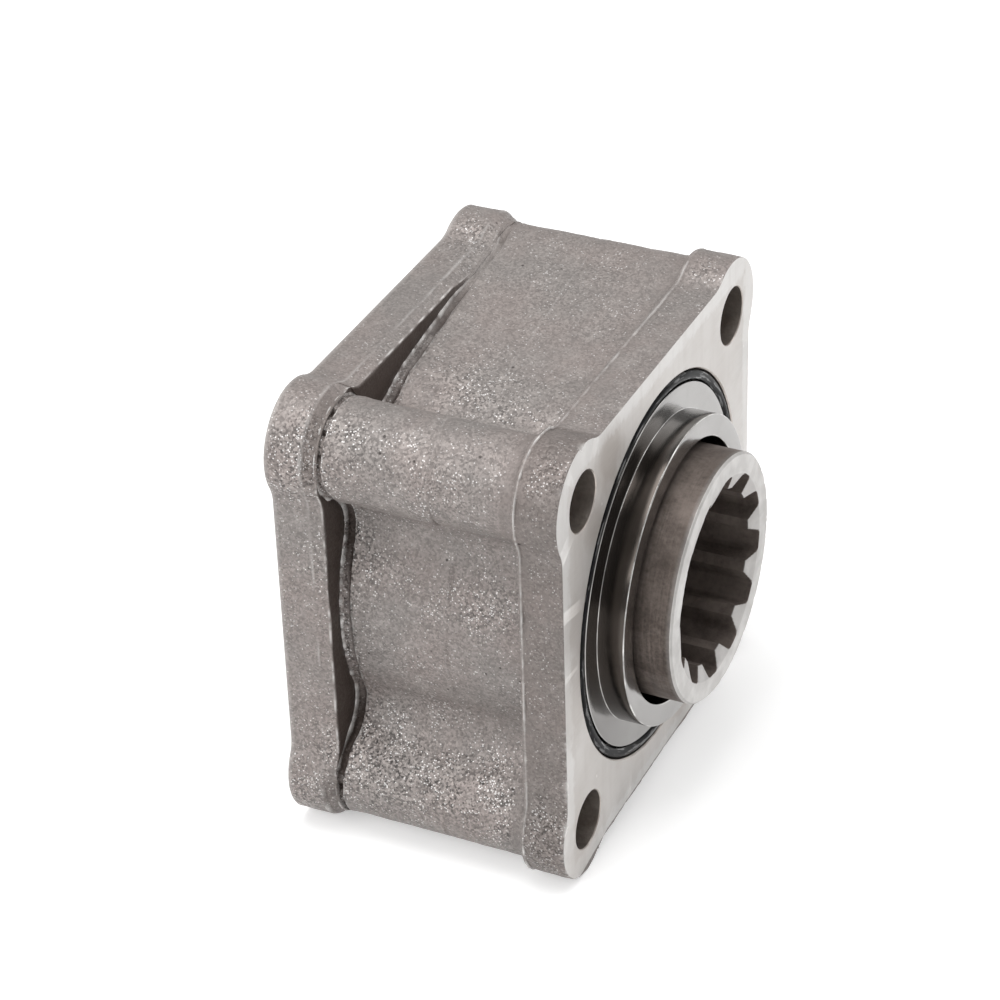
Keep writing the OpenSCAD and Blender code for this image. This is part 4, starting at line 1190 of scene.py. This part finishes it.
def makeHub(h):
    weld = 0.00001
    mesh = bmesh.new()
    for sector, copies, turn in (
            (frontSector(h), h["spaces"], h["spaceTurn"]), (rearSector(h), h["rearSpaces"], h["rearTurn"])):
        mesh.from_mesh(copiedAboutShaft(sector, copies, math.radians(turn), weld, finishes["hub_steel"]))
    bmesh.ops.remove_doubles(mesh, verts=mesh.verts, dist=weld)
    openEdges = sum(1 for e in mesh.edges if len(e.link_faces) != 2)
    # Dings on the front bevel and a burr at the mouth of the spline
    for v in mesh.verts:
        x, radius = v.co.x / mm, math.hypot(v.co.y, v.co.z) / mm
        if x < h["front"] - 3:
            continue
        out = Vector((0, v.co.y, v.co.z)).normalized()
        bump = noise.noise(v.co / (1.7 * mm)) + 0.6 * noise.noise(v.co / (0.7 * mm) + Vector((9, 0, 0)))
        if radius > h["radius"] - 1.3:
            v.co -= (out * 0.7 + Vector((0.7, 0, 0))) * mm * h["dings"] * max(0, bump - 0.15) * 1.6
        elif h["major"] - 0.4 < radius < h["major"] + 0.6 and x > h["front"] - 0.4:
            v.co += out * mm * h["burr"] * bump
    data = closedMesh(mesh, "splinedHub", 35)
    data.materials.append(finishes["hub_steel"])
    grimeAndShading = np.zeros(len(data.vertices), np.float32)
    data.attributes["grimeAndShading"].data.foreach_get("value", grimeAndShading)
    places = np.array([v.co for v in data.vertices])
    turn = np.degrees(np.arctan2(places[:, 2], places[:, 1])) % 360
    # painted shade: the side's pale colour fades out around one angle, on the near side
    bare = np.clip(abs(turn - h["shadeMiddle"]) / h["shadeSpread"], 0.12, 1)
    outer = np.hypot(places[:, 1], places[:, 2]) > (h["journal"] + 1) * mm
    grimeAndShading = np.where(outer, grimeAndShading * bare, grimeAndShading).astype(np.float32)
    data.attributes["grimeAndShading"].data.foreach_set("value", grimeAndShading)
    addPiece("splinedHub", data, "shaft", "hub_steel", "splined_hub")
    print("hub made with", len(data.polygons), "faces and", openEdges, "open edges")


makeHub(hub)


# Balls and cage rivets of the two bearings
bearing = {
    "balls": 13,
    "pitchRadius": 32.5,
    "ballRadius": 4.365,
    "middles": {"front": -19.5, "rear": -40.5},
    "ballDivisions": 4,
    "rivetSides": 20,
    "rivetRadius": 0.7,
    "headRadius": 1.3,
    "headHeight": 0.6,
    "cageHalf": 0.9,
    "weld": 0.0000001,  # metres
}


def ballMesh(b, x):
    mesh = bmesh.new()
    bmesh.ops.create_icosphere(mesh, subdivisions=b["ballDivisions"], radius=b["ballRadius"] * mm)
    bmesh.ops.translate(mesh, verts=mesh.verts, vec=(x * mm, b["pitchRadius"] * mm, 0))
    for face in mesh.faces:
        face.smooth = True
    return meshFrom(mesh, "ball")


# Rivet with a domed head at each end, its axis beside the shaft
def rivetMesh(b, x):
    shank, head, tall, start = b["rivetRadius"], b["headRadius"], b["headHeight"], b["cageHalf"]
    half = [(0.0, shank), (start, shank), (start, head - 0.08), (start + 0.1, head)]
    for a in np.radians((20, 38, 56, 74)):
        half.append((start + 0.1 + (tall - 0.1) * math.sin(a), head * math.cos(a)))
    profile = [(-px, r) for px, r in reversed(half[1:])] + half
    mesh = bmesh.new()
    count, place = b["rivetSides"], b["pitchRadius"]
    rings = [addRing(mesh, x + px, r, fullTurn(count), (place, 0)) for px, r in profile]
    bridge(mesh, rings)
    for ring, sign in ((rings[0], -1), (rings[-1], 1)):
        tip = mesh.verts.new(((x + sign * (start + tall)) * mm, place * mm, 0))
        for j in range(count):
            mesh.faces.new((ring[j], ring[(j + 1) % count], tip)).smooth = True
    return closedMesh(mesh, "rivet", 50)


def makeBearingParts(b):
    half = math.pi / b["balls"]
    for end, x in b["middles"].items():
        balls = copiedAboutShaft(ballMesh(b, x), b["balls"], 0.0, b["weld"], finishes["ball_steel"])
        addPiece(end + "BearingBalls", balls, end + "_cage", "ball_steel", end + "_balls")
        rivets = copiedAboutShaft(rivetMesh(b, x), b["balls"], half, b["weld"], finishes["cage_steel"])
        addPiece(end + "BearingRivets", rivets, end + "_cage", "cage_steel", end + "_cage_rivets")
    print("balls and rivets copied about the shaft")


makeBearingParts(bearing)
